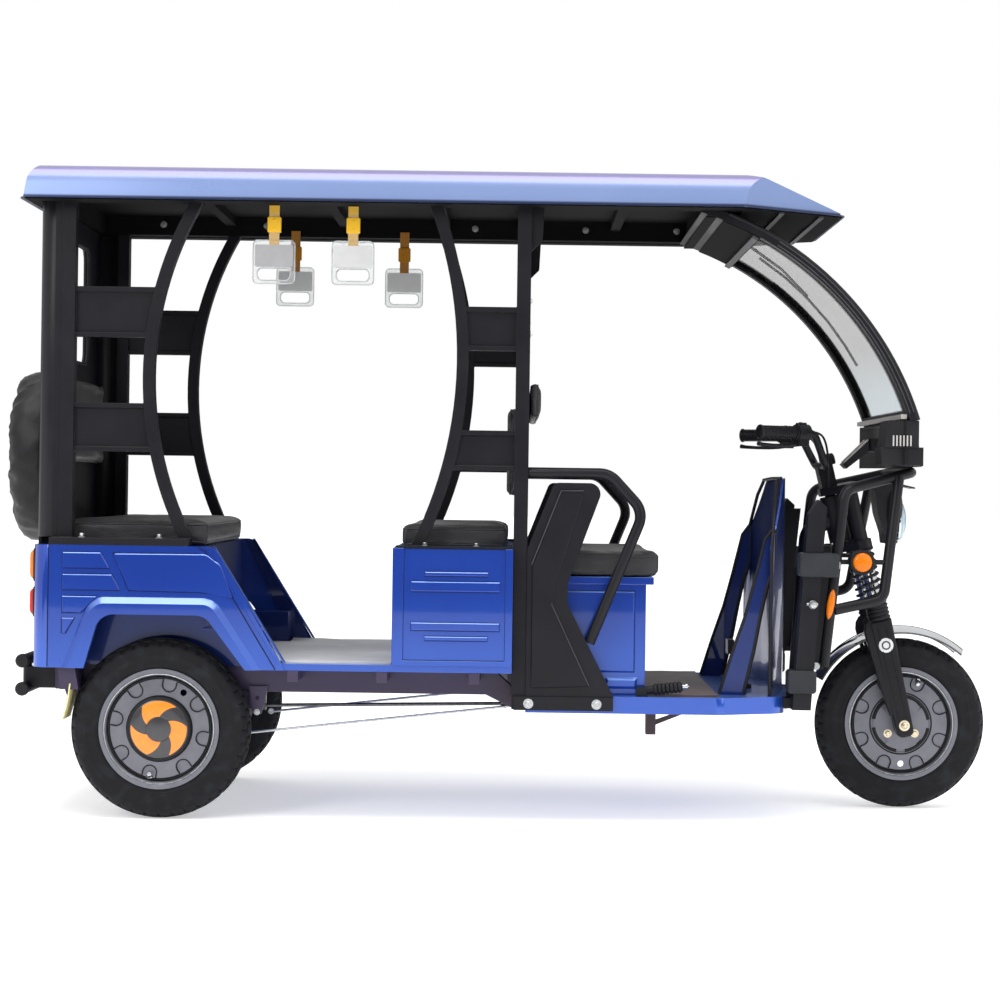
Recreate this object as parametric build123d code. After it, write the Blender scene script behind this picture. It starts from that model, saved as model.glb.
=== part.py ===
from build123d import *
import math
import os

os.makedirs("parts", exist_ok=True)

# Passenger three-wheeler. Millimetres; X forward, Y to the vehicle's left, Z up from the ground.
# X = 0 lies midway between the back of the spare wheel cover and the front of the front tyre.

# Fits
CURVED_GAP = 0.3
PIN_GAP = 0.3

# Overall width of the pressed body; the frames, floors, track and roof keep their distance from it
BODY_HALF_W = 490
TRACK_INSET = 70
FRAME_INSET = 60
FLOOR_INSET = 52
ROOF_OVERHANG = 18

# Wheels
WHEELBASE = 2080
REAR_AXLE_X = -922
TYRE_R = 245
TYRE_W = 95
TYRE_SHOULDER = (17, 7)
BEAD_R = 150
BEAD_HALF = 40
FLANGE_R = 163
FLANGE_T = 6
DISC_R = 137
DISC_Y = 33
HUB_R = 84
CAP_TOP = 44
HUB_TOP = 38
DRUM_R = 92
REAR_DRUM_IN = 58
FRONT_DRUM_IN = 50
POCKETS = 8
POCKET_R = 19
POCKET_AT = 121
POCKET_DEPTH = 4
VENT_R = 9
STUB_R = 14
STUB_REACH = 46
FRONT_PIN_R = 9

# Chassis
RAIL_INSET = 90
RAIL_W = 40
REAR_RAIL_Z = (340, 410)
FRONT_RAIL_Z = (301, 341)
RAIL_REAR_X = -1227
RAIL_STEP_X = (-20, 60)
BEAM_W = 40
FLOOR_T = 18
DECK_T = 6
MAT_T = 4
MAT_EDGE = 30
FLOOR_BEND_X = 600
FLOOR_FRONT_X = 776
NOSE_X = 822
NOSE_HALF_W = 150
NOSE_TAPER = 70
STAND_X = 416
STAND_BOTTOM_Z = 236

# Body side
SHEET = 4
BODY_REAR_X = -1267
BODY_BOTTOM_Z = 410
BODY_TOP_Z = 741
BODY_FRONT_TOP_X = -775
BODY_FRONT_FOOT_X = -580
TAIL_CORNER_R = 45
ARCH_TOP_Z = 556
ARCH_FEET_X = (-1127, -672)
ARCH_KNEES_X = (-1081, -798)
FLARE_W = 46
FLARE_OUT = 14
FLARE_TAPER = 50
EMBOSS = 4
SEAT_FRONT_X = -812

# Side frames
POST_W = 36
CURVE_W = 32
POST_PROUD = 4
SILL_T = 20
SILL_W = 78
RAIL_BOTTOM_Z = 1674
REAR_COVER_X = -1203
REAR_POST_X = -1167
REAR_CURVE_X = (-842, -966, -860)
REAR_CURVE_MID_Z = 1200
MID_PILLAR_X = (31, 69)
PILLAR_FOOT_Z = 310
MID_CURVE_X = (-191, -114, -230)
MID_CURVE_MID_Z = 1283
MID_SILL_T = 6
PANEL_T = 10
BAR_H = 13
BAR_T = 26

# Seats
MID_BOX_X = (-294, 31)
MID_BOX_Z = (428, 745)
CUSHION_GAP = 6
CUSHION_T = 70
REAR_CUSHION_X = (-1195, -797)
DRIVER_BOX_X = (75, 397)
DRIVER_BOX_INSET = 110
DRIVER_BOX_TOP_Z = 671
TRAY_LIP = 12
TRAY_H = 20
BACK_BOARD_X = (49, 69)

# Roof
ROOF_X = (-1300, 924)
ROOF_SIDE_H = 92
ROOF_CROWN = 20
ROOF_SHEET = 4
ROOF_LIP = 13
ROOF_LIP_T = 3
ROOF_TAPER_X = 640
ROOF_TIP_HALF_W = 320
ROOF_RAIL_H = 60
ROOF_RAIL_W = (30, 20)
ROOF_RAIL_FRONT_X = 640
LINING_T = 4

# Windscreen and nose
SCREEN_TOP_X = 594
SCREEN_MIDDLE = (923, 1460)
SCREEN_FOOT_X = 1133
SCREEN_INSET = 72
SCREEN_DEPTH = 24
SCREEN_BORDER = 36
GLASS_T = 5
COWL_Z = (985, 1111)
COWL_BACK_X = 1009
COWL_T = 6
SHIELD_X = 743
SHIELD_BOW = 69
SHIELD_T = 6
SHIELD_HALF_W = 357
SHIELD_TOP_Z = 949
GUARD_Y = 350
GUARD_R = 15

# Steering
RAKE = 13.6
FORK_OFFSET = 48
FORK_LEG_Y = 80
FORK_TUBE_R = 20
LEG_TOP = 312
BOOT_TOP = 366
SPRING_R = 29
COILS = 8
YOKE_LOW = (520, 545)
YOKE_TOP = (690, 712)
HEAD_R = 32
STEM_R = 16
BAR_R = 11
GRIP_R = 17
BAR_END = (718, 250, 1078)
BAR_BEND = (880, 160)

# Lamps
LAMP_X = (1108, 1142)
LAMP_Z = 862
LAMP_R = 80

# Spare wheel
SPARE_REAR_X = -1403
SPARE_Z = 985
SPARE_R = 250

FRONT_AXLE_X = REAR_AXLE_X + WHEELBASE
AXLE_Z = TYRE_R
REAR_WHEEL_Y = BODY_HALF_W - TRACK_INSET
WHEEL_HOUSE_Y = REAR_WHEEL_Y - TYRE_W / 2 - 10
RAIL_Y = REAR_WHEEL_Y - RAIL_INSET
SKIN_IN = BODY_HALF_W - SHEET
FRAME_Y = BODY_HALF_W - FRAME_INSET
FLOOR_HALF_W = BODY_HALF_W - FLOOR_INSET
ROOF_HALF_W = BODY_HALF_W + ROOF_OVERHANG
CUSHION_HALF_W = FRAME_Y - POST_W / 2 - CUSHION_GAP
DRIVER_BOX_HALF_W = BODY_HALF_W - DRIVER_BOX_INSET
SCREEN_HALF_W = BODY_HALF_W - SCREEN_INSET
CAB_FLOOR_TOP = FRONT_RAIL_Z[1] + DECK_T
PASSENGER_FLOOR_Z = REAR_RAIL_Z[1] + FLOOR_T
SILL_TOP_Z = BODY_TOP_Z + SILL_T
MID_SILL_TOP_Z = MID_BOX_Z[1] + MID_SILL_T
ROOF_EDGE_Z = RAIL_BOTTOM_Z + ROOF_LIP_T
ROOF_SHOULDER_Z = ROOF_EDGE_Z + ROOF_SIDE_H
ROOF_TOP_Z = ROOF_SHOULDER_Z + ROOF_CROWN
ROOF_RAIL_Y = (FRAME_Y - ROOF_RAIL_W[0], FRAME_Y + ROOF_RAIL_W[1])
ROOF_RAIL_TOP_Z = RAIL_BOTTOM_Z + ROOF_RAIL_H
SCREEN = ((SCREEN_TOP_X, RAIL_BOTTOM_Z), SCREEN_MIDDLE, (SCREEN_FOOT_X, COWL_Z[1]))
LIMIT = 3000


def block(x, y, z):
    size = Box(x[1] - x[0], y[1] - y[0], z[1] - z[0])
    return Pos((x[0] + x[1]) / 2, (y[0] + y[1]) / 2, (z[0] + z[1]) / 2) * size


def outline(points, radius):
    if radius == 0:
        return make_face(Polyline(*points, close=True))
    return make_face(FilletPolyline(*points, radius=radius, close=True))


def side_plate(points, y, radius=0, taper=0):
    plane = Plane((0, y[0], 0), x_dir=(-1, 0, 0), z_dir=(0, 1, 0))
    turned = [(-x, z) for x, z in points]
    return extrude(plane * outline(turned, radius), y[1] - y[0], taper=taper)


def plan_plate(points, z, radius=0):
    return extrude(Pos(0, 0, z[0]) * outline(points, radius), z[1] - z[0])


def front_plate(points, x, radius=0):
    plane = Plane((x[0], 0, 0), x_dir=(0, 1, 0), z_dir=(1, 0, 0))
    return extrude(plane * outline(points, radius), x[1] - x[0])


def tube(points, r, bend=40):
    path = FilletPolyline(*points, radius=bend) if len(points) > 2 else Line(*points)
    return sweep(Plane(path @ 0, z_dir=path % 0) * Circle(r), path=path)


def rod(p, q, r):
    line = Line(p, q)
    return extrude(Plane(p, z_dir=line % 0) * Circle(r), line.length)


def joined(*shapes):
    return Part() + list(shapes)


def mirrored(shape):
    return mirror(shape, Plane.XZ)


def pair(shape):
    return Compound(list(shape.solids()) + list(mirrored(shape).solids()))


def pressed(points, y, height, radius=0):
    """Raised panel on a wall whose face is at y, with sloped edges."""
    plate = side_plate(points, (y, y + height), radius)
    rim = plate.faces().sort_by(Axis.Y)[-1].edges()
    return chamfer(rim, height * 0.7)


def circle_of(p, q, r):
    ax, az, bx, bz, cx, cz = *p, *q, *r
    d = 2 * (ax * (bz - cz) + bx * (cz - az) + cx * (az - bz))
    a2, b2, c2 = ax * ax + az * az, bx * bx + bz * bz, cx * cx + cz * cz
    ux = (a2 * (bz - cz) + b2 * (cz - az) + c2 * (az - bz)) / d
    uz = (a2 * (cx - bx) + b2 * (ax - cx) + c2 * (bx - ax)) / d
    return (ux, uz), math.hypot(ax - ux, az - uz)


def arc_face(three, inner, outer, trim=(0, 0)):
    """Band that follows the circle through three points, from inner to outer of its radius."""
    (cx, cz), r = circle_of(*three)
    a0, am, a1 = [math.atan2(z - cz, x - cx) for x, z in three]
    while a0 - am > math.pi:
        a0 -= 2 * math.pi
    while am - a0 > math.pi:
        a0 += 2 * math.pi
    while a1 - am > math.pi:
        a1 -= 2 * math.pi
    while am - a1 > math.pi:
        a1 += 2 * math.pi
    way = 1 if a1 > a0 else -1
    a0 += way * trim[0] / r
    a1 -= way * trim[1] / r
    am = (a0 + a1) / 2

    def at(radius, angle):
        return (cx + radius * math.cos(angle), cz + radius * math.sin(angle))

    ro, ri = r + outer, r + inner
    edges = [
        ThreePointArc(at(ro, a0), at(ro, am), at(ro, a1)),
        Line(at(ro, a1), at(ri, a1)),
        ThreePointArc(at(ri, a1), at(ri, am), at(ri, a0)),
        Line(at(ri, a0), at(ro, a0)),
    ]
    return make_face(edges)


def arc_plate(three, inner, outer, y, trim=(0, 0)):
    plane = Plane((0, y[1], 0), x_dir=(1, 0, 0), z_dir=(0, -1, 0))
    return extrude(plane * arc_face(three, inner, outer, trim), y[1] - y[0])


NODES = {}
across = Rot(90, 0, 0)


# Wheels, turned about Y with the outer face towards +Y
def tyre():
    half = TYRE_W / 2
    flank = BEAD_R + 45
    bead = FLANGE_R + 1
    shoulder = (TYRE_R - TYRE_SHOULDER[0], half - TYRE_SHOULDER[1])
    edges = [
        Line((BEAD_R, -BEAD_HALF), (BEAD_R, BEAD_HALF)),
        Line((BEAD_R, BEAD_HALF), (bead, BEAD_HALF)),
        ThreePointArc((bead, BEAD_HALF), (flank, half), shoulder),
        ThreePointArc(shoulder, (TYRE_R, 0), (shoulder[0], -shoulder[1])),
        ThreePointArc((shoulder[0], -shoulder[1]), (flank, -half), (bead, -BEAD_HALF)),
        Line((bead, -BEAD_HALF), (BEAD_R, -BEAD_HALF)),
    ]
    return revolve(make_face(edges), Axis.Y)


def pocket(angle):
    """D-shaped recess in the wheel disc, round towards the hub."""
    round_end = across * Cylinder(POCKET_R, POCKET_DEPTH * 2)
    straight = Pos((DISC_R - POCKET_AT) / 2, 0, 0) * Box(DISC_R - POCKET_AT, POCKET_DEPTH * 2, POCKET_R * 2)
    return Rot(0, -angle, 0) * Pos(POCKET_AT, DISC_Y, 0) * joined(round_end, straight)


def rim(bore_r, drum_in, top, first_pocket, vent_angle):
    seat = BEAD_R - CURVED_GAP
    inside = BEAD_HALF + CURVED_GAP
    outside = inside + FLANGE_T
    barrel = seat - 7
    face = [
        (FLANGE_R, outside), (FLANGE_R - 11, outside), (barrel + 2, outside - 8), (barrel, DISC_Y - 7),
        (DISC_R, DISC_Y - 7), (DISC_R - 3, DISC_Y - 2), (HUB_R, DISC_Y), (HUB_R, DISC_Y - 7),
        (DISC_R - 4, DISC_Y - 9), (barrel, DISC_Y - 14), (barrel, -outside), (FLANGE_R, -outside),
        (FLANGE_R, -inside), (seat, -inside), (seat, inside), (FLANGE_R, inside),
    ]
    disc = revolve(make_face(Polyline(*face, close=True)), Axis.Y)
    for n in range(POCKETS):
        disc = disc - pocket(first_pocket + n * 360 / POCKETS)
    vent = across * Cylinder(VENT_R, 60)
    disc = disc - Rot(0, -vent_angle, 0) * Pos(POCKET_AT - 4, DISC_Y, 0) * vent
    hub = [
        (bore_r, -drum_in), (DRUM_R, -drum_in), (DRUM_R, DISC_Y - 7), (HUB_R, DISC_Y),
        (HUB_R - 4, top - 2), (HUB_R - 8, top), (bore_r, top),
    ]
    return disc + revolve(make_face(Polyline(*hub, close=True)), Axis.Y)


rear_rim = rim(STUB_R + PIN_GAP, REAR_DRUM_IN, CAP_TOP, 78, 57)
rear_rim = rear_rim + Pos(0, CAP_TOP - 12, 0) * across * Cylinder(STUB_R + 2, 24)
front_rim = rim(FRONT_PIN_R + PIN_GAP, FRONT_DRUM_IN, HUB_TOP, 22.5, -89)
for n in range(4):
    notch = Rot(0, 45 + 90 * n, 0) * Pos(HUB_R - 10, HUB_TOP, 0) * Box(24, 6, 18)
    front_rim = front_rim - notch
left_place = Pos(REAR_AXLE_X, REAR_WHEEL_Y, AXLE_Z)
front_place = Pos(FRONT_AXLE_X, 0, AXLE_Z)
NODES["rear_tyre_left"] = left_place * tyre()
NODES["rear_rim_left"] = left_place * rear_rim
NODES["rear_tyre_right"] = mirrored(NODES["rear_tyre_left"])
NODES["rear_rim_right"] = mirrored(NODES["rear_rim_left"])
NODES["front_tyre"] = front_place * tyre()
NODES["front_rim"] = front_place * mirrored(front_rim)

# Chassis rails step down under the driver's floor
RAIL_FRONT_X = FLOOR_FRONT_X - 20
rail_outline = [
    (RAIL_REAR_X, REAR_RAIL_Z[0]), (RAIL_REAR_X, REAR_RAIL_Z[1]), (RAIL_STEP_X[0], REAR_RAIL_Z[1]),
    (RAIL_STEP_X[1], FRONT_RAIL_Z[1]), (RAIL_FRONT_X, FRONT_RAIL_Z[1]), (RAIL_FRONT_X, FRONT_RAIL_Z[0]),
    (RAIL_STEP_X[1] - 20, FRONT_RAIL_Z[0]), (RAIL_STEP_X[0] - 20, REAR_RAIL_Z[0]),
]
rail_span = (RAIL_Y - RAIL_W / 2, RAIL_Y + RAIL_W / 2)
rail = side_plate(rail_outline, rail_span)
rear_beam_z = (REAR_RAIL_Z[0] + 10, REAR_RAIL_Z[1] - 10)
# place along X, height
CROSS_BEAMS = [
    (-1200, rear_beam_z), (-640, rear_beam_z), (-300, rear_beam_z), (-60, rear_beam_z),
    (300, FRONT_RAIL_Z), (RAIL_FRONT_X - 26, FRONT_RAIL_Z),
]
beams = [block((x - BEAM_W / 2, x + BEAM_W / 2), (-rail_span[0], rail_span[0]), z) for x, z in CROSS_BEAMS]
outriggers = []
for x in (-560, -320, -70):
    outrigger_z = (REAR_RAIL_Z[1] - 30, REAR_RAIL_Z[1])
    outriggers.append(block((x - 15, x + 15), (rail_span[1], SKIN_IN), outrigger_z))
STAND_HALF = 14
stand = block((STAND_X - STAND_HALF, STAND_X + STAND_HALF), rail_span, (STAND_BOTTOM_Z, FRONT_RAIL_Z[0]))
brace = side_plate([
    (STAND_X + STAND_HALF, STAND_BOTTOM_Z + 26), (STAND_X + STAND_HALF, STAND_BOTTOM_Z + 40),
    (STAND_X + 84, FRONT_RAIL_Z[0]), (STAND_X + 110, FRONT_RAIL_Z[0])], (RAIL_Y - 6, RAIL_Y + 6))
side_frame = joined(rail, *outriggers, stand, brace)
NODES["chassis_frame"] = joined(side_frame, mirrored(side_frame), *beams)

# Rear axle with its gear case and motor, on leaf springs under the rails
EYE_X = (REAR_AXLE_X - 243, REAR_AXLE_X + 243)
EYE_Z = REAR_RAIL_Z[0] - 26
AXLE_HALF = 30
SPRING_CENTRE_Z = AXLE_Z + AXLE_HALF + 9
LEAF_T = 8
LEAF_W = 34
PLATE_R = 95
PLATE_T = 8
GEAR_CASE_R = 88
MOTOR_R = 75
plate_y = REAR_WHEEL_Y - REAR_DRUM_IN - 6
axle = [block((REAR_AXLE_X - AXLE_HALF, REAR_AXLE_X + AXLE_HALF), (-plate_y + PLATE_T, plate_y - PLATE_T),
              (AXLE_Z - AXLE_HALF, AXLE_Z + AXLE_HALF))]
stub_len = PLATE_T + 6 + STUB_REACH
for side in (1, -1):
    disc_at = Pos(REAR_AXLE_X, side * (plate_y - PLATE_T / 2), AXLE_Z)
    axle.append(disc_at * across * Cylinder(PLATE_R, PLATE_T))
    stub_at = Pos(REAR_AXLE_X, side * (plate_y - PLATE_T + stub_len / 2), AXLE_Z)
    axle.append(stub_at * across * Cylinder(STUB_R, stub_len))
axle.append(Pos(REAR_AXLE_X, 60, AXLE_Z) * across * Cylinder(GEAR_CASE_R, 130))
axle.append(Pos(REAR_AXLE_X, -100, AXLE_Z) * across * Cylinder(MOTOR_R, 190))
NODES["rear_axle"] = joined(*axle)

spring_arc = ((EYE_X[0], EYE_Z), (REAR_AXLE_X, SPRING_CENTRE_Z), (EYE_X[1], EYE_Z))
spring_y = (RAIL_Y - LEAF_W / 2, RAIL_Y + LEAF_W / 2)
leaves = []
for n, cut in enumerate((0, 70, 130)):
    leaves.append(arc_plate(spring_arc, n * LEAF_T, (n + 1) * LEAF_T, spring_y, (cut, cut)))
pad = block((REAR_AXLE_X - 45, REAR_AXLE_X + 45), spring_y, (AXLE_Z + AXLE_HALF, SPRING_CENTRE_Z + 4))
hangers = []
for x in EYE_X:
    ear = [(x - 34, REAR_RAIL_Z[0]), (x + 34, REAR_RAIL_Z[0]), (x + 18, EYE_Z - 20), (x - 18, EYE_Z - 20)]
    hangers.append(side_plate(ear, (RAIL_Y - 26, RAIL_Y + 26), (0, 0, 12, 12)))
    hangers.append(Pos(x, RAIL_Y, EYE_Z - 2) * across * Cylinder(12, 66))
clear_axle = block((REAR_AXLE_X - 60, REAR_AXLE_X + 60), (0, BODY_HALF_W), (0, AXLE_Z + AXLE_HALF))
NODES["leaf_springs"] = pair(joined(*leaves, pad, *hangers) - clear_axle)

ROD_Y = rail_span[0] - 30
ROD_ENDS = ((-660, REAR_RAIL_Z[0] - 44), (10, REAR_RAIL_Z[0] - 30))
brake_rod = [rod((ROD_ENDS[0][0], ROD_Y, ROD_ENDS[0][1]), (ROD_ENDS[1][0], ROD_Y, ROD_ENDS[1][1]), 5)]
for x, z in ROD_ENDS:
    beam_x = -640 if x < 0 else -60
    brake_rod.append(block((x - 8, x + 8), (ROD_Y - 8, ROD_Y + 8), (z - 12, rear_beam_z[0])))
    if x > 0:
        link = (beam_x, x + 8)
        brake_rod.append(block(link, (ROD_Y - 8, ROD_Y + 8), (rear_beam_z[0] - 12, rear_beam_z[0])))
NODES["brake_rods"] = pair(joined(*brake_rod))

# Floors
passenger_x = (SEAT_FRONT_X + SHEET, MID_BOX_X[1])
passenger_floor = block(passenger_x, (-SKIN_IN, SKIN_IN), (REAR_RAIL_Z[1], PASSENGER_FLOOR_Z))
HOUSE_FRONT_X = ARCH_FEET_X[1] + 16
HOUSE_TOP_Z = ARCH_TOP_Z - 36
house_inner = WHEEL_HOUSE_Y - SHEET
wheel_room = block((-LIMIT, HOUSE_FRONT_X), (house_inner, LIMIT), (0, LIMIT))
NODES["passenger_floor"] = passenger_floor - wheel_room - mirrored(wheel_room)
front_half = FLOOR_HALF_W - NOSE_TAPER
nose_side = [
    (MID_BOX_X[1], FLOOR_HALF_W), (FLOOR_BEND_X, FLOOR_HALF_W), (FLOOR_FRONT_X, front_half), (NOSE_X, NOSE_HALF_W),
]
nose = [(x, -y) for x, y in nose_side] + nose_side[::-1]
nose_round = (0, 60, 60, 60, 60, 60, 60, 0)
wall = 4
inner_nose = [(x - (wall if x > FLOOR_BEND_X - 1 else 1), y - math.copysign(wall, y)) for x, y in nose]
edge_rail = plan_plate(nose, FRONT_RAIL_Z, nose_round) - plan_plate(inner_nose, FRONT_RAIL_Z, nose_round)
deck = plan_plate(nose, (FRONT_RAIL_Z[1], CAB_FLOOR_TOP), nose_round)
step_cut = block((-LIMIT, RAIL_STEP_X[1] + 5), (rail_span[0] - 2, rail_span[1] + 2), (0, 500))
pillar_cut = block((0, MID_PILLAR_X[1]), (FRAME_Y - POST_W / 2, LIMIT), (0, LIMIT))
for cut in (step_cut, pillar_cut):
    deck = deck - cut - mirrored(cut)
    edge_rail = edge_rail - cut - mirrored(cut)
NODES["driver_floor"] = joined(deck, edge_rail)
DRIVER_MAT_X = (DRIVER_BOX_X[1] + 8, FLOOR_BEND_X - 4)
# span along X, half width, floor
mats = [
    ((SEAT_FRONT_X + 14, MID_BOX_X[0] - 4), SKIN_IN - MAT_EDGE, PASSENGER_FLOOR_Z),
    (DRIVER_MAT_X, FLOOR_HALF_W - MAT_EDGE, CAB_FLOOR_TOP),
]
mat_room = block((-LIMIT, HOUSE_FRONT_X + 8), (house_inner - 8, LIMIT), (0, LIMIT))
mat_blocks = [block(x, (-half, half), (z, z + MAT_T)) - mat_room - mirrored(mat_room) for x, half, z in mats]
NODES["floor_mats"] = Compound([mat.solid() for mat in mat_blocks])

# Pressed rear body sides with flared wheel arches
below = BODY_BOTTOM_Z - 20
arch = [(ARCH_FEET_X[0], below), (ARCH_KNEES_X[0], ARCH_TOP_Z), (ARCH_KNEES_X[1], ARCH_TOP_Z), (ARCH_FEET_X[1], below)]
flare = [
    (ARCH_FEET_X[0] - 78, below - 40), (ARCH_KNEES_X[0] - 28, ARCH_TOP_Z + FLARE_W),
    (ARCH_KNEES_X[1] + 24, ARCH_TOP_Z + FLARE_W), (ARCH_FEET_X[1] + 66, below - 40),
]
skin = [
    (BODY_REAR_X + TAIL_CORNER_R, BODY_BOTTOM_Z), (BODY_REAR_X + TAIL_CORNER_R, BODY_TOP_Z),
    (BODY_FRONT_TOP_X, BODY_TOP_Z), (BODY_FRONT_FOOT_X, BODY_BOTTOM_Z),
]
body_side = side_plate(skin, (SKIN_IN, BODY_HALF_W), (0, 0, 40, 0))
arch_flare = side_plate(flare, (BODY_HALF_W, BODY_HALF_W + FLARE_OUT), (0, 60, 60, 0), FLARE_TAPER)
arch_flare = arch_flare & block((-LIMIT, LIMIT), (0, LIMIT), (BODY_BOTTOM_Z, BODY_TOP_Z))
# Stacked panels behind the arch: height of the top and foot, and where each reaches forward
STACK = [(-19, -1081, -62, -1056), (-78, -1050, -121, -1027), (-137, -1088, -183, -1132), (-196, -1149, -238, -1173)]
STACK_REAR_X = -1184
panels = []
for top, top_x, foot, foot_x in STACK:
    panel = [(STACK_REAR_X, BODY_TOP_Z + top), (top_x, BODY_TOP_Z + top),
             (foot_x, BODY_TOP_Z + foot), (STACK_REAR_X, BODY_TOP_Z + foot)]
    panels.append(pressed(panel, BODY_HALF_W, EMBOSS))
BIG_PANEL = [(-1049, -21), (-796, -20), (-757, -49), (-722, -140), (-809, -124), (-1005, -121)]
panels.append(pressed([(x, BODY_TOP_Z + z) for x, z in BIG_PANEL], BODY_HALF_W, EMBOSS, (6, 30, 30, 6, 40, 6)))
body_side = joined(body_side, arch_flare, *panels)
body_side = body_side - side_plate(arch, (SKIN_IN - 1, BODY_HALF_W + 40), (0, 50, 50, 0))
corner_centre = (BODY_REAR_X + TAIL_CORNER_R, BODY_HALF_W - TAIL_CORNER_R)


def corner_shell(reach, r_out, thick, z):
    cx, cy = reach
    ring = Circle(r_out) - Circle(r_out - thick)
    quarter = Pos(cx, cy, z[0]) * (ring & Pos(-r_out / 2, r_out / 2) * Rectangle(r_out, r_out))
    return extrude(quarter, z[1] - z[0])


tail_corner = corner_shell(corner_centre, TAIL_CORNER_R, SHEET, (BODY_BOTTOM_Z, BODY_TOP_Z))
LIP_W = 26


def slope(near, far):
    """Strip along the sloped front edge, from near to far behind it."""
    return [(BODY_FRONT_TOP_X - far, BODY_TOP_Z), (BODY_FRONT_TOP_X - near, BODY_TOP_Z),
            (BODY_FRONT_FOOT_X - near, PASSENGER_FLOOR_Z), (BODY_FRONT_FOOT_X - far, PASSENGER_FLOOR_Z)]


lip = side_plate(slope(0, SHEET + 1), (SKIN_IN - LIP_W, SKIN_IN))
fold = side_plate(slope(22, 26), (BODY_HALF_W, BODY_HALF_W + 3))
NODES["body_sides"] = pair(joined(body_side, tail_corner, lip, fold))

# Rear tub: tail panel, seat deck, seat front and wheel house walls
tail_half = BODY_HALF_W - TAIL_CORNER_R
deck_half = SKIN_IN - LIP_W - 16
deck_z = (BODY_TOP_Z - SHEET, BODY_TOP_Z)
full_z = (BODY_BOTTOM_Z, BODY_TOP_Z)
tub = [
    block((BODY_REAR_X, BODY_REAR_X + SHEET), (-tail_half, tail_half), full_z),
    block((BODY_REAR_X + SHEET, SEAT_FRONT_X), (-deck_half, deck_half), deck_z),
    block((BODY_REAR_X + TAIL_CORNER_R, SEAT_FRONT_X), (-SKIN_IN, SKIN_IN), deck_z),
    block((SEAT_FRONT_X, SEAT_FRONT_X + SHEET), (-SKIN_IN, SKIN_IN), full_z),
]
for side in (1, -1):
    house = sorted((side * (WHEEL_HOUSE_Y - SHEET), side * WHEEL_HOUSE_Y))
    tub.append(block((BODY_REAR_X + SHEET, SEAT_FRONT_X), house, full_z))
tyre_room = side_plate(arch, (WHEEL_HOUSE_Y, SKIN_IN + 1), (0, 50, 50, 0))
tub = joined(*tub) - tyre_room - mirrored(tyre_room)
house_x = (SEAT_FRONT_X + SHEET, HOUSE_FRONT_X)
house_z = (BODY_BOTTOM_Z, HOUSE_TOP_Z)
house = joined(
    block(house_x, (house_inner, WHEEL_HOUSE_Y), house_z),
    block((HOUSE_FRONT_X - SHEET, HOUSE_FRONT_X), (house_inner, SKIN_IN), house_z),
    block(house_x, (house_inner, SKIN_IN), (HOUSE_TOP_Z - SHEET, HOUSE_TOP_Z)))
NODES["rear_tub"] = joined(tub, house, mirrored(house))

# Side frames: square posts, curved posts and infill panels between bars
frame_y = (FRAME_Y - POST_W / 2, FRAME_Y + POST_W / 2)
curve_y = (FRAME_Y - CURVE_W / 2, FRAME_Y + CURVE_W / 2)
infill_y = (FRAME_Y - PANEL_T / 2, FRAME_Y + PANEL_T / 2)
bar_y = (FRAME_Y - BAR_T / 2, FRAME_Y + BAR_T / 2)
rear_z = (SILL_TOP_Z, RAIL_BOTTOM_Z)
mid_z = (MID_SILL_TOP_Z, RAIL_BOTTOM_Z)
REAR_CURVE = ((REAR_CURVE_X[0], rear_z[1]), (REAR_CURVE_X[1], REAR_CURVE_MID_Z), (REAR_CURVE_X[2], rear_z[0]))
MID_CURVE = ((MID_CURVE_X[0], mid_z[1]), (MID_CURVE_X[1], MID_CURVE_MID_Z), (MID_CURVE_X[2], mid_z[0]))


def curved_post(three, z):
    bar = arc_plate(three, -CURVE_W / 2, CURVE_W / 2, curve_y, (-40, -40))
    return bar & block((-LIMIT, LIMIT), (0, LIMIT), z)


def infill(three, x, z):
    """Panel with a bar along its top and foot, cut where it meets the curved post."""
    (cx, cz), r = circle_of(*three)
    sheet = joined(block(x, infill_y, z), block(x, bar_y, (z[0], z[0] + BAR_H)), block(x, bar_y, (z[1] - BAR_H, z[1])))
    return sheet - Pos(cx, FRAME_Y, cz) * across * Cylinder(r, BAR_T * 2)


cover_x = BODY_REAR_X + TAIL_CORNER_R
COVER_T = 5
rear_curve = curved_post(REAR_CURVE, rear_z)
rear_post = block((REAR_COVER_X, REAR_POST_X), (frame_y[0], frame_y[1] + POST_PROUD), rear_z)
rear_cover = corner_shell((cover_x, frame_y[1] - TAIL_CORNER_R), TAIL_CORNER_R, COVER_T, rear_z)
rear_cover = rear_cover + block((cover_x, REAR_COVER_X), (frame_y[1] - COVER_T, frame_y[1]), rear_z)
sill_y = (BODY_HALF_W - SILL_W, BODY_HALF_W)
rear_sill = block((cover_x, REAR_CURVE_X[2] + 15), sill_y, (BODY_TOP_Z, SILL_TOP_Z))
rear_infills = [infill(REAR_CURVE, (REAR_POST_X, -900), z) for z in ((995, 1127), (1306, 1443))]
NODES["rear_frames"] = pair(joined(rear_curve, rear_post, rear_cover, rear_sill, *rear_infills))

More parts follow.
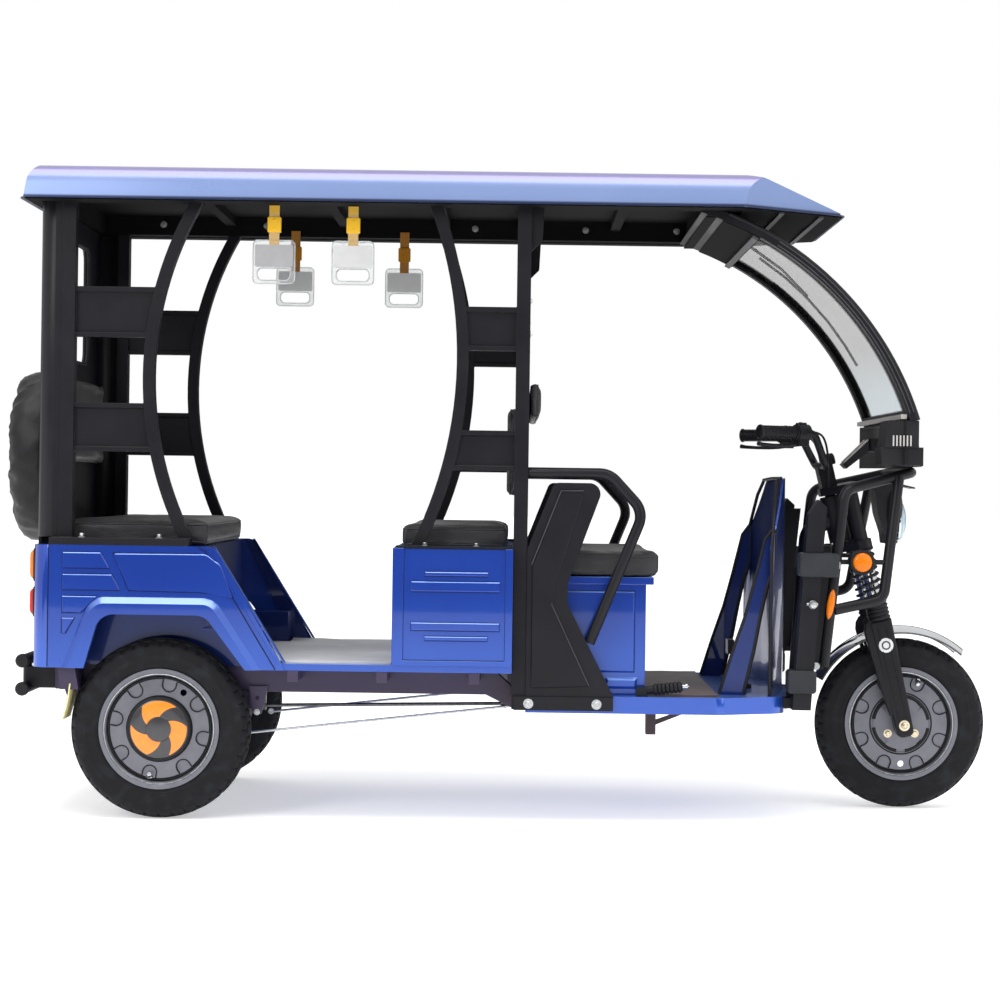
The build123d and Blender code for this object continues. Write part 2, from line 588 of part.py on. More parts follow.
mid_curve = curved_post(MID_CURVE, mid_z)
mid_pillar = block(MID_PILLAR_X, frame_y, (PILLAR_FOOT_Z, RAIL_BOTTOM_Z))
mid_sill = block((MID_BOX_X[0] + 6, MID_PILLAR_X[0]), sill_y, (MID_BOX_Z[1], MID_SILL_TOP_Z))
mid_infills = [infill(MID_CURVE, (-160, MID_PILLAR_X[0]), z) for z in ((957, 1066), (1283, 1402))]
head_bracket = side_plate([
    (MID_PILLAR_X[1], RAIL_BOTTOM_Z - 120), (MID_PILLAR_X[1], RAIL_BOTTOM_Z), (MID_PILLAR_X[1] + 34, RAIL_BOTTOM_Z),
    (MID_PILLAR_X[1] + 30, RAIL_BOTTOM_Z - 90)], infill_y)
NODES["mid_frames"] = pair(joined(mid_curve, mid_pillar, mid_sill, head_bracket, *mid_infills))

# Rear wall with its window, and the padded back
WALL_T = 8
wall_half = frame_y[1] - TAIL_CORNER_R
rear_wall = block((BODY_REAR_X, BODY_REAR_X + WALL_T), (-wall_half, wall_half), (BODY_TOP_Z, RAIL_BOTTOM_Z))
WINDOW_HALF_W = 230
WINDOW_Z = (1260, 1610)
window = front_plate([
    (-WINDOW_HALF_W, WINDOW_Z[0]), (WINDOW_HALF_W, WINDOW_Z[0]), (WINDOW_HALF_W, WINDOW_Z[1]),
    (-WINDOW_HALF_W, WINDOW_Z[1])], (BODY_REAR_X - 5, BODY_REAR_X + 20), 40)
NODES["rear_wall"] = rear_wall - window
BACKREST_X = (BODY_REAR_X + WALL_T, BODY_REAR_X + 45)
NODES["rear_backrest"] = block(BACKREST_X, (-wall_half + 60, wall_half - 60), (957, 1212))
seat_y = (-CUSHION_HALF_W, CUSHION_HALF_W)
NODES["rear_cushion"] = block(REAR_CUSHION_X, seat_y, (BODY_TOP_Z, BODY_TOP_Z + CUSHION_T))

# Middle seat, faced to the rear: a pressed box with framed and ribbed ends
mid_box = block(MID_BOX_X, (-BODY_HALF_W, BODY_HALF_W), MID_BOX_Z)
mid_inside = (MID_BOX_X[0] + SHEET, MID_BOX_X[1] - SHEET)
mid_box = mid_box - block(mid_inside, (-SKIN_IN, SKIN_IN), (0, MID_BOX_Z[1] - SHEET))
face_y = (BODY_HALF_W, BODY_HALF_W + EMBOSS)
end_frame = [
    block((MID_BOX_X[0], MID_BOX_X[0] + 30), face_y, MID_BOX_Z),
    block((MID_BOX_X[1] - 20, MID_BOX_X[1]), face_y, MID_BOX_Z),
    block(MID_BOX_X, face_y, (MID_BOX_Z[0], MID_BOX_Z[0] + 14)),
]
# reach along X from the rear edge, centre height, rib height
RIBS = [((50, 291), 642, 28), ((50, 291), 534, 22), ((87, 259), 676, 12), ((87, 259), 502, 12)]
for (x0, x1), z, high in RIBS:
    strip = [(MID_BOX_X[0] + x0, z - high / 2), (MID_BOX_X[0] + x1, z - high / 2),
             (MID_BOX_X[0] + x1, z + high / 2), (MID_BOX_X[0] + x0, z + high / 2)]
    end_frame.append(pressed(strip, BODY_HALF_W, EMBOSS))
end_frame = joined(*end_frame)
NODES["mid_seat_box"] = joined(mid_box, end_frame, mirrored(end_frame))
MID_CUSHION_X = (MID_BOX_X[0] + 10, MID_BOX_X[1] - 8)
NODES["mid_cushion"] = block(MID_CUSHION_X, seat_y, (MID_BOX_Z[1], MID_BOX_Z[1] + CUSHION_T - 8))
NODES["back_board"] = block(BACK_BOARD_X, (-frame_y[0], frame_y[0]), (870, 1215))
# reach along X, height; behind and before the board
BACK_PADS = [((12, BACK_BOARD_X[0]), (878, 1140)), ((BACK_BOARD_X[1], 98), (1100, 1204))]
pad_y = (-frame_y[0] + 10, frame_y[0] - 10)
NODES["back_pads"] = Compound([block(x, pad_y, z).solid() for x, z in BACK_PADS])

# Driver's seat on a pressed box with a tray lip
driver_y = (-DRIVER_BOX_HALF_W, DRIVER_BOX_HALF_W)
driver_box = block(DRIVER_BOX_X, driver_y, (CAB_FLOOR_TOP, DRIVER_BOX_TOP_Z))
TRAY_X = (DRIVER_BOX_X[0], DRIVER_BOX_X[1] + 20)
tray_y = (driver_y[0] - TRAY_LIP, driver_y[1] + TRAY_LIP)
driver_box = driver_box + block(TRAY_X, tray_y, (DRIVER_BOX_TOP_Z - TRAY_H, DRIVER_BOX_TOP_Z))
box_panel = [(150, 410), (DRIVER_BOX_X[1] - 30, 410), (DRIVER_BOX_X[1] - 30, 632), (150, 632)]
side_press = joined(
    pressed(box_panel, driver_y[1], EMBOSS + 2),
    pressed([(280, 365), (375, 365), (375, 395), (290, 395)], driver_y[1], EMBOSS + 6))
driver_box = joined(driver_box, side_press, mirrored(side_press))
inside_x = (DRIVER_BOX_X[0] + SHEET, DRIVER_BOX_X[1] - SHEET)
inside_y = (driver_y[0] + SHEET, driver_y[1] - SHEET)
NODES["driver_seat_box"] = driver_box - block(inside_x, inside_y, (0, DRIVER_BOX_TOP_Z - SHEET))
DRIVER_CUSHION_X = (150, 440)
driver_seat_z = (DRIVER_BOX_TOP_Z, DRIVER_BOX_TOP_Z + CUSHION_T)
NODES["driver_cushion"] = block(DRIVER_CUSHION_X, (tray_y[0] - 8, tray_y[1] + 8), driver_seat_z)

# Side guards with their pressed faces and grab hoops
pillar_front = MID_PILLAR_X[1]
guard_outline = [
    (pillar_front, 745), (140, 927), (278, 927), (180, 655), (180, 598), (307, 349), (307, 309), (37, 309), (37, 349),
    (pillar_front, 349),
]
guard_y = (frame_y[1] - 6, frame_y[1] + 4)
side_guard = side_plate(guard_outline, guard_y, (0, 20, 30, 40, 40, 10, 0, 0, 0, 0))
side_guard = side_guard - block(MID_PILLAR_X, (0, frame_y[1]), (0, LIMIT))
guard_face = [(82, 700), (158, 904), (224, 904), (147, 653), (140, 591), (243, 375), (82, 368)]
guard_press = pressed(guard_face, guard_y[1], 4, (0, 12, 14, 30, 30, 6, 6))
foot_bar = block((37, 307), (guard_y[1], guard_y[1] + 5), (309, 346))
hoop_y = frame_y[1] - 18
HOOP_TOP_Z = 953
hoop = tube([(pillar_front, hoop_y, HOOP_TOP_Z), (290, hoop_y, HOOP_TOP_Z), (385, hoop_y, 850), (241, hoop_y, 491)], 15, 60)
NODES["side_guards"] = pair(joined(side_guard, guard_press, foot_bar, hoop))


# Roof: pressed shell, narrower towards the front, over a black frame with bows and lining
def roof_plan(inset):
    half, tip = ROOF_HALF_W - inset, ROOF_TIP_HALF_W - inset * 0.7
    rear, front = ROOF_X[0] + inset, ROOF_X[1] - inset
    return [(rear, -half), (ROOF_TAPER_X, -half), (front, -tip), (front, tip), (ROOF_TAPER_X, half), (rear, half)]


def roof_block(inset):
    rear, front = ROOF_X[0] + inset, ROOF_X[1] - inset
    top = ROOF_TOP_Z - inset
    profile = [
        (rear, ROOF_EDGE_Z), (rear + 14, top - 8), (540, top), (700, top - 30),
        (front, ROOF_EDGE_Z + 6), (front, ROOF_EDGE_Z),
    ]
    long_way = side_plate(profile, (-LIMIT, LIMIT), (0, 70, 200, 200, 0, 0))
    half = ROOF_HALF_W - inset
    shoulder = ROOF_SHOULDER_Z - inset
    foot, knee, shoulder_at = (half, ROOF_EDGE_Z), (half - 8, shoulder - 52), (half - 76, shoulder)
    turn = (half - 26, shoulder - 17)

    def left(point):
        return (-point[0], point[1])

    edges = [
        Line(left(foot), left(knee)),
        ThreePointArc(left(knee), left(turn), left(shoulder_at)),
        ThreePointArc(left(shoulder_at), (0, top), shoulder_at),
        ThreePointArc(shoulder_at, turn, knee),
        Line(knee, foot),
        Line(foot, left(foot)),
    ]
    plane = Plane((rear, 0, 0), x_dir=(0, 1, 0), z_dir=(1, 0, 0))
    cross_way = extrude(plane * make_face(edges), front - rear)
    return long_way & cross_way & plan_plate(roof_plan(inset), (ROOF_EDGE_Z - 1, ROOF_TOP_Z + 1))


lip_z = (ROOF_EDGE_Z - ROOF_LIP_T, ROOF_EDGE_Z)
lip_hole = ROOF_HALF_W - ROOF_RAIL_Y[1]
lip_ring = plan_plate(roof_plan(-ROOF_LIP), lip_z, 45) - plan_plate(roof_plan(lip_hole), lip_z)
lip_ring = lip_ring - block((BODY_REAR_X, ROOF_TAPER_X), (-ROOF_RAIL_Y[1], ROOF_RAIL_Y[1]), lip_z)
NODES["roof_shell"] = joined(roof_block(0) - roof_block(ROOF_SHEET), lip_ring)

roof_z = (RAIL_BOTTOM_Z, ROOF_RAIL_TOP_Z)
lining_z = (ROOF_RAIL_TOP_Z - LINING_T, ROOF_RAIL_TOP_Z)
inner = ROOF_RAIL_Y[0]
side_rail = block((BODY_REAR_X, ROOF_RAIL_FRONT_X), ROOF_RAIL_Y, roof_z)
roof_parts = [side_rail, mirrored(side_rail)]
roof_parts.append(block((BODY_REAR_X, ROOF_RAIL_FRONT_X), (-inner, inner), lining_z))
BOW_H = 26
for x in (-850, -500, -190, 50, 330):
    roof_parts.append(block((x - 15, x + 15), (-inner, inner), (lining_z[0] - BOW_H, lining_z[0])))
roof_parts.append(block((BODY_REAR_X, BODY_REAR_X + 30), (-inner, inner), roof_z))
roof_parts.append(block((SCREEN_TOP_X - 46, SCREEN_TOP_X - 6), (-inner, inner), roof_z))
visor_plan = plan_plate(roof_plan(lip_hole + CURVED_GAP), lip_z)
roof_parts.append(visor_plan & block((ROOF_RAIL_FRONT_X - 1, LIMIT), (-LIMIT, LIMIT), (0, LIMIT)))
NODES["roof_frame"] = joined(*roof_parts)

# Curved windscreen
screen_y = (-SCREEN_HALF_W, SCREEN_HALF_W)
between = block((-LIMIT, LIMIT), (-LIMIT, LIMIT), (COWL_Z[1], RAIL_BOTTOM_Z))
screen = arc_plate(SCREEN, -SCREEN_DEPTH, 0, screen_y, (-60, -60)) & between
opening_y = (-SCREEN_HALF_W + SCREEN_BORDER, SCREEN_HALF_W - SCREEN_BORDER)
TOP_BORDER = SCREEN_BORDER + 40
opening = arc_plate(SCREEN, -SCREEN_DEPTH - 10, 10, opening_y, (TOP_BORDER, SCREEN_BORDER))
glass_y = (opening_y[0] + CURVED_GAP, opening_y[1] - CURVED_GAP)
glass_trim = (TOP_BORDER + CURVED_GAP, SCREEN_BORDER + CURVED_GAP)
NODES["windscreen_glass"] = arc_plate(SCREEN, -14, -14 + GLASS_T, glass_y, glass_trim)
pillar_top = block((SCREEN_TOP_X - 46, SCREEN_TOP_X - 6), (-SCREEN_HALF_W, SCREEN_HALF_W),
                   (RAIL_BOTTOM_Z - 14, RAIL_BOTTOM_Z))
NODES["windscreen_frame"] = joined(screen - opening, pillar_top)

# Nose cowl: its front goes on along the windscreen's curve, its ends have grille slots
(screen_cx, screen_cz), screen_r = circle_of(*SCREEN)


def screen_x(z):
    return screen_cx + math.sqrt(screen_r ** 2 - (z - screen_cz) ** 2)


def cowl_block(inset, y, foot):
    top = COWL_Z[1] - inset
    middle = (top + foot) / 2
    front = [(screen_x(z) - inset, z) for z in (top, middle, foot)]
    chin = (COWL_BACK_X + 60, foot)
    back = (COWL_BACK_X - inset, COWL_Z[0] + 55)
    edges = [
        Line((back[0], top), front[0]), ThreePointArc(*front), Line(front[2], chin),
        Line(chin, back), Line(back, (back[0], top)),
    ]
    plane = Plane((0, y[1], 0), x_dir=(1, 0, 0), z_dir=(0, -1, 0))
    return extrude(plane * make_face(edges), y[1] - y[0])


corner = SCREEN_FOOT_X - 40
cowl_plan = [
    (COWL_BACK_X - 50, -SCREEN_HALF_W), (corner, -SCREEN_HALF_W), (corner + 90, -SCREEN_HALF_W + 130),
    (corner + 90, SCREEN_HALF_W - 130), (corner, SCREEN_HALF_W), (COWL_BACK_X - 50, SCREEN_HALF_W),
]
cowl = cowl_block(0, screen_y, COWL_Z[0]) - cowl_block(COWL_T, (screen_y[0] + COWL_T, screen_y[1] - COWL_T), COWL_Z[0] - 1)
cowl = cowl & plan_plate(cowl_plan, COWL_Z, (0, 40, 40, 40, 40, 0))
SLOTS = 5
for n in range(SLOTS):
    slot_x = COWL_BACK_X + 36 + 13 * n
    slot = block((slot_x, slot_x + 7), (SCREEN_HALF_W - 10, SCREEN_HALF_W + 1), (COWL_Z[0] + 60, COWL_Z[1] - 22))
    cowl = cowl - slot - mirrored(slot)
NODES["front_cowl"] = cowl

# Leg shield: a bowed sheet on the floor, with curved gussets behind its edges
def bowed(tip_x, edge_x, half, back, z):
    arc = ThreePointArc((edge_x, -half), (tip_x, 0), (edge_x, half))
    edges = [arc, Line((edge_x, half), (back, half)), Line((back, half), (back, -half)), Line((back, -half), (edge_x, -half))]
    return extrude(Pos(0, 0, z[0]) * make_face(edges), z[1] - z[0])


shield_z = (CAB_FLOOR_TOP, SHIELD_TOP_Z)
back_x = SHIELD_X - 60
sheet = bowed(SHIELD_X + SHIELD_BOW, SHIELD_X, SHIELD_HALF_W, back_x, shield_z)
sheet = sheet - bowed(SHIELD_X + SHIELD_BOW - SHIELD_T, SHIELD_X - SHIELD_T, SHIELD_HALF_W, back_x, shield_z)
shield_front = [
    (-SHIELD_HALF_W, shield_z[0]), (SHIELD_HALF_W, shield_z[0]), (SHIELD_HALF_W, SHIELD_TOP_Z - 189),
    (SHIELD_HALF_W - 164, SHIELD_TOP_Z), (-SHIELD_HALF_W + 164, SHIELD_TOP_Z), (-SHIELD_HALF_W, SHIELD_TOP_Z - 189),
]
sheet = sheet & front_plate(shield_front, (back_x, NOSE_X), (0, 0, 60, 40, 40, 60))
gusset_y = (SHIELD_HALF_W - 39, SHIELD_HALF_W - 33)
gusset = side_plate([
    (SHIELD_X - 137, shield_z[0]), (SHIELD_X - 75, shield_z[0]), (SHIELD_X - 27, 560), (SHIELD_X + 10, 690),
    (SHIELD_X + 10, 810), (SHIELD_X - 15, 780), (SHIELD_X - 69, 560)], gusset_y, (0, 0, 120, 20, 0, 30, 200))
NODES["leg_shield"] = joined(sheet, gusset, mirrored(gusset))

# Front guard: bent bars, columns and their straps, held by the floor's nose
nose_room = plan_plate(nose, (0, CAB_FLOOR_TOP + 20), nose_round)
column_y = (GUARD_Y - 10, GUARD_Y + 45)
strap_y = (GUARD_Y - 15, GUARD_Y + 50)
column = side_plate([(801, 313), (851, 313), (888, 870), (866, 890), (838, 850)], column_y)
SIGNAL_Z = 719
CAGE_TOP_Z = COWL_Z[0] - GUARD_R - CURVED_GAP
signal_arm = ((921, GUARD_Y - 12, SIGNAL_Z), (1071, GUARD_Y - 42, SIGNAL_Z))
guard_half = [
    column,
    block((NOSE_X - 60, 851), (GUARD_Y - 50, GUARD_Y - 5), (FRONT_RAIL_Z[0] + 12, FRONT_RAIL_Z[1])) - nose_room,
    block((790, 862), strap_y, (362, 419)),
    block((818, 920), strap_y, (681, 741)),
    tube([(1107, GUARD_Y - 95, CAGE_TOP_Z - 10), (1056, GUARD_Y - 20, 617), (918, GUARD_Y, 587)], GUARD_R, 40),
    tube(signal_arm, 7),
    block((842, 890), (GUARD_Y - 12, GUARD_Y + 12), (424, 440)),
]
cage = tube([
    (890, GUARD_Y, 430), (942, GUARD_Y, 918), (1150, GUARD_Y - 135, CAGE_TOP_Z), (1150, 135 - GUARD_Y, CAGE_TOP_Z),
    (942, -GUARD_Y, 918), (890, -GUARD_Y, 430)], GUARD_R, 40)
half = joined(*guard_half)
NODES["front_guard"] = joined(half, mirrored(half), cage)

# Steering head and its down tube
FORK = Pos(FRONT_AXLE_X, 0, AXLE_Z) * Rot(0, -RAKE, 0)
head_span = (YOKE_LOW[1] + 5, YOKE_TOP[0] - 5)
head_mid = (head_span[0] + head_span[1]) / 2
head = FORK * Pos(-FORK_OFFSET, 0, head_mid) * Cylinder(HEAD_R, head_span[1] - head_span[0])
hp = (FORK * Pos(-FORK_OFFSET - HEAD_R / 2, 0, head_mid)).position
down = tube([(NOSE_X + 34, 0, FRONT_RAIL_Z[0] + 20), (NOSE_X + 64, 0, 800), (hp.X, 0, hp.Z)], 24, 50)
foot = block((NOSE_X - 20, NOSE_X + 64), (-70, 70), (FRONT_RAIL_Z[0], FRONT_RAIL_Z[1] + 4)) - nose_room
bore = FORK * Pos(-FORK_OFFSET, 0, head_mid) * Cylinder(STEM_R + PIN_GAP, 400)
NODES["steering_head"] = joined(head, down, foot) - bore

# Fork: rounded lower legs, ribbed boots, upper tubes, two yokes and the stem
LEG_Y = (FORK_LEG_Y - 22, FORK_LEG_Y + 18)
leg = side_plate([(-24, -34), (24, -34), (33, LEG_TOP), (-33, LEG_TOP)], LEG_Y, (18, 18, 6, 6))
leg = fillet(leg.faces().sort_by(Axis.Y)[-1].edges(), 9)
fork_half = [leg, Pos(0, FORK_LEG_Y, (LEG_TOP + YOKE_TOP[1]) / 2) * Cylinder(FORK_TUBE_R, YOKE_TOP[1] - LEG_TOP)]


def ribbed(inner_r, outer_r, z, count):
    """Turned sleeve with rounded ribs, about the leg's own line."""
    step = (z[1] - z[0]) / count
    edges = [Line((inner_r, z[1]), (inner_r, z[0])), Line((inner_r, z[0]), (outer_r - step * 0.45, z[0]))]
    for n in range(count):
        base = z[0] + n * step
        valley = outer_r - step * 0.45
        edges.append(ThreePointArc((valley, base), (outer_r, base + step / 2), (valley, base + step)))
    edges.append(Line((outer_r - step * 0.45, z[1]), (inner_r, z[1])))
    plane = Plane((0, 0, 0), x_dir=(1, 0, 0), z_dir=(0, -1, 0))
    return Pos(0, FORK_LEG_Y, 0) * revolve(plane * make_face(edges), Axis.Z)


fork_half.append(ribbed(FORK_TUBE_R - 2, SPRING_R + 2, (LEG_TOP, BOOT_TOP), 4))
fork_half = joined(*fork_half)
yoke = [
    (-FORK_OFFSET - 30, -28), (-14, -104), (12, -104), (28, -84),
    (28, 84), (12, 104), (-14, 104), (-FORK_OFFSET - 30, 28),
]
stem_mid = (YOKE_LOW[0] + YOKE_TOP[1]) / 2
stem = Pos(-FORK_OFFSET, 0, stem_mid) * Cylinder(STEM_R, YOKE_TOP[1] - YOKE_LOW[0])
axle_pin = across * Cylinder(FRONT_PIN_R, 2 * LEG_Y[1] + 20)
yokes = [plan_plate(yoke, YOKE_LOW, 8), plan_plate(yoke, YOKE_TOP, 8)]
NODES["fork"] = FORK * joined(fork_half, mirrored(fork_half), *yokes, stem, axle_pin)
NODES["fork_springs"] = FORK * pair(ribbed(FORK_TUBE_R + CURVED_GAP, SPRING_R, (BOOT_TOP, YOKE_LOW[0]), COILS))

FENDER_R = 264
FENDER_T = 3
FENDER_HALF_W = 55
FENDER_CROWN = 18
outer_r, inner_r = FENDER_R, FENDER_R - FENDER_T
fender_edges = [
    ThreePointArc((outer_r, -FENDER_HALF_W), (outer_r + FENDER_CROWN, 0), (outer_r, FENDER_HALF_W)),
    Line((outer_r, FENDER_HALF_W), (inner_r, FENDER_HALF_W)),
    ThreePointArc((inner_r, FENDER_HALF_W), (inner_r + FENDER_CROWN, 0), (inner_r, -FENDER_HALF_W)),
    Line((inner_r, -FENDER_HALF_W), (outer_r, -FENDER_HALF_W)),
]
fender = Pos(FRONT_AXLE_X, 0, AXLE_Z) * Rot(0, -152, 0) * revolve(make_face(fender_edges), Axis.Y, 95)
stay = FORK * block((-12, 12), (FENDER_HALF_W - 4, LEG_Y[0]), (FENDER_R - 8, FENDER_R))
NODES["front_fender"] = joined(fender, stay, mirrored(stay))

# Handlebar on the top yoke
RISER_H = 64
bar_foot = (FORK * Pos(-FORK_OFFSET, 0, YOKE_TOP[1] + RISER_H - 2)).position
ex, ey, ez = BAR_END
bx, by = BAR_BEND
bar = tube([
    (ex, ey, ez), (bx, by, ez), (bar_foot.X - 8, by - 50, bar_foot.Z), (bar_foot.X - 8, 50 - by, bar_foot.Z),
    (bx, -by, ez), (ex, -ey, ez)], BAR_R, 38)
riser = FORK * Pos(-FORK_OFFSET, 0, YOKE_TOP[1] + RISER_H / 2) * Box(44, 70, RISER_H)
NODES["handlebar"] = joined(bar, riser)
bar_way = Vector(ex - bx, ey - by, 0).normalized()
grip_at = Vector(ex, ey, ez)
bar_room = rod(grip_at - bar_way * 190, grip_at, BAR_R + CURVED_GAP)
grip = rod(grip_at - bar_way * 118, grip_at + bar_way * 4, GRIP_R)
pod = rod(grip_at - bar_way * 162, grip_at - bar_way * 122, 24)
NODES["bar_grips"] = pair(joined(grip, rod(grip_at - bar_way * 124, grip_at - bar_way * 116, GRIP_R + 4), pod) - bar_room)

# Headlamp under the nose: a turned bowl with a bulged lens and a visor
lamp_edges = [
    Line((0, 0), (LAMP_R * 0.7, 0)),
    ThreePointArc((LAMP_R * 0.7, 0), (LAMP_R * 0.93, 10), (LAMP_R, LAMP_X[1] - LAMP_X[0])),
    ThreePointArc((LAMP_R, LAMP_X[1] - LAMP_X[0]), (LAMP_R * 0.6, LAMP_X[1] - LAMP_X[0] + 11), (0, LAMP_X[1] - LAMP_X[0] + 16)),
    Line((0, LAMP_X[1] - LAMP_X[0] + 16), (0, 0)),
]
lamp_plane = Plane((0, 0, 0), x_dir=(1, 0, 0), z_dir=(0, -1, 0))
bowl = Pos(LAMP_X[0], 0, LAMP_Z) * Rot(0, 90, 0) * revolve(lamp_plane * make_face(lamp_edges), Axis.Z)
cage_bar = rod((1150, -60, CAGE_TOP_Z), (1150, 60, CAGE_TOP_Z), GUARD_R)
hanger = block((LAMP_X[0] + 4, 1150), (-40, 40), (LAMP_Z + 60, CAGE_TOP_Z)) - cage_bar
visor = side_plate([
    (LAMP_X[1] - 6, LAMP_Z + LAMP_R - 8), (LAMP_X[1] - 6, LAMP_Z + LAMP_R - 2), (LAMP_X[1] + 46, LAMP_Z + LAMP_R - 14),
    (LAMP_X[1] + 46, LAMP_Z + LAMP_R - 18)], (-50, 50))
NODES["headlamp"] = joined(bowl, hanger, visor)

# Amber and red lamps
LAMP_T = 18
signal_arm_room = rod(*signal_arm, 7 + CURVED_GAP)
signal = Pos(993, GUARD_Y - 4, SIGNAL_Z) * across * Cylinder(35, 34) - signal_arm_room
tail_x = (BODY_REAR_X - LAMP_T, BODY_REAR_X)
tail_y = (tail_half - 65, tail_half - 5)
amber = block(tail_x, tail_y, (645, 725))
NODES["amber_lamps"] = Compound(list(pair(signal).solids()) + list(pair(amber).solids()))
NODES["red_lamps"] = pair(block(tail_x, tail_y, (548, 620)))

# Rear bumper, spare wheel under its cover, mud flaps
BUMPER_X = BODY_REAR_X - 40
BUMPER_Z = (343, 420)
bumper_half = tail_half - 45
bumper = [tube([(BUMPER_X, -bumper_half, z), (BUMPER_X, bumper_half, z)], 16) for z in BUMPER_Z]
for y in (-RAIL_Y, RAIL_Y):
    bumper.append(tube([(BUMPER_X, y, BUMPER_Z[0]), (BUMPER_X, y, BUMPER_Z[1])], 12))
    bumper.append(block((BUMPER_X, RAIL_REAR_X), (y - 18, y + 18), (REAR_RAIL_Z[0] + 2, REAR_RAIL_Z[1] - 10)))
NODES["rear_bumper"] = joined(*bumper)
SPARE_GAP = 14
cover = Cylinder(SPARE_R, BODY_REAR_X - SPARE_GAP - SPARE_REAR_X)
cover = fillet(cover.edges(), 36)
cover = Pos((BODY_REAR_X - SPARE_GAP + SPARE_REAR_X) / 2, 0, SPARE_Z) * Rot(0, 90, 0) * cover
carrier = block((BODY_REAR_X - SPARE_GAP - 16, BODY_REAR_X), (-70, 70), (SPARE_Z - 70, SPARE_Z + 70))
NODES["spare_wheel"] = joined(cover, carrier)
FLAP_X = (-1187, -1183)
NODES["mud_flaps"] = pair(block(FLAP_X, (WHEEL_HOUSE_Y - 5, SKIN_IN - 6), (270, BODY_BOTTOM_Z)))

# Hand grips on straps under the roof rails: place along X, side
GRIPS = [(-635, -1), (-419, -1), (-652, 1), (-317, 1)]
GRIP_PLATE = (116, 120)
GRIP_DROP = 94
grip_half = GRIP_PLATE[0] / 2
plate_top = RAIL_BOTTOM_Z - GRIP_DROP
plate_foot = plate_top - GRIP_PLATE[1]
grip_y = (inner - 6, inner)
grips = []
for x, side in GRIPS:
    strap = block((x - 14, x + 14), (inner - 4, inner), (plate_top - 5, RAIL_BOTTOM_Z + 18))
    buckle = block((x - 18, x + 18), (inner - 8, inner), (plate_top + 22, plate_top + 62))
    plate = side_plate([
        (x - grip_half, plate_foot), (x + grip_half, plate_foot), (x + grip_half, plate_top),
        (x - grip_half, plate_top)], grip_y, 14)
    hole = side_plate([
        (x - grip_half + 14, plate_foot + 11), (x + grip_half - 14, plate_foot + 11),
        (x + grip_half - 14, plate_foot + 42), (x - grip_half + 14, plate_foot + 42)], (inner - 10, inner + 4), 14)
    one = joined(strap, buckle, plate - hole)
    grips += (one if side > 0 else mirrored(one)).solids()
NODES["hand_grips"] = Compound(grips)

# Hand brake and foot brake on the driver's floor
LEVER_Y = -DRIVER_BOX_HALF_W - 26
lever_foot = block((372, 400), (LEVER_Y - 12, LEVER_Y + 12), (CAB_FLOOR_TOP, CAB_FLOOR_TOP + 25))
lever = joined(lever_foot, rod((387, LEVER_Y, CAB_FLOOR_TOP + 15), (498, LEVER_Y, CAB_FLOOR_TOP + 27), 11))
PEDAL_Y = -100
pedal_foot = block((690, 716), (PEDAL_Y - 20, PEDAL_Y + 20), (CAB_FLOOR_TOP, CAB_FLOOR_TOP + 12))
pedal_arm = rod((702, PEDAL_Y, CAB_FLOOR_TOP + 4), (660, PEDAL_Y, CAB_FLOOR_TOP + 119), 7)
pedal_pad = block((646, 664), (PEDAL_Y - 35, PEDAL_Y + 35), (CAB_FLOOR_TOP + 99, CAB_FLOOR_TOP + 139))
pedal = joined(pedal_foot, pedal_arm, pedal_pad)
NODES["brake_controls"] = Compound(list(lever.solids()) + list(pedal.solids()))

for name, shape in NODES.items():
    export_step(shape, f"parts/{name}.step")
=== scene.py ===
from math import asin, cos, dist, hypot, pi, radians, sin, sqrt

import bmesh
import bpy
from mathutils import Matrix, Vector, noise
from mathutils.bvhtree import BVHTree


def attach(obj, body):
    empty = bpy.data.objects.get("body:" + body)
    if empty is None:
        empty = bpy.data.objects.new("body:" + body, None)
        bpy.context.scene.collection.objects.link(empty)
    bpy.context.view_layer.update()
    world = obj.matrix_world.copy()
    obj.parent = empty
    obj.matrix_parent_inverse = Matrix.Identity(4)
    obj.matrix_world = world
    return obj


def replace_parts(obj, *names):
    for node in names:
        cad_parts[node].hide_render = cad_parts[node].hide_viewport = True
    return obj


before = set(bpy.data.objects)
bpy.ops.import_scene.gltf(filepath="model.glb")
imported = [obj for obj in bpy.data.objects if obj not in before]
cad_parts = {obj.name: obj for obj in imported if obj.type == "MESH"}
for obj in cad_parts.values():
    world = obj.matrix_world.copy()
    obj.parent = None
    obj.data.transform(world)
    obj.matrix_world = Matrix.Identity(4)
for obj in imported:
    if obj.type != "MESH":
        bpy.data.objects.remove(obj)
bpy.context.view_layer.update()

scene = bpy.context.scene
scene.view_settings.view_transform = "Standard"
MM = 0.001
SIDES = ((1, "left"), (-1, "right"))


def linked(name, data):
    """New object of the scene."""
    made = bpy.data.objects.new(name, data)
    scene.collection.objects.link(made)
    return made


# Camera at the photograph's angle: level, square to the side, with the picture rolled a little
def photograph_camera():
    lens = bpy.data.cameras.new("photograph")
    lens.sensor_width = 36
    lens.lens = 83.2
    lens.shift_x = -0.015
    lens.shift_y = -0.015
    lens.clip_end = 100
    camera = linked("photograph", lens)
    camera.location = (0.033, -6.72, 0.919)
    camera.rotation_euler = (radians(90), radians(-0.8), 0)
    scene.camera = camera


def stage_sheet(name, corners, finish):
    mesh = bpy.data.meshes.new(name)
    mesh.from_pydata(corners, [], [(0, 1, 2, 3)])
    mesh.materials.append(finish.material)
    sheet = linked(name, mesh)
    return sheet


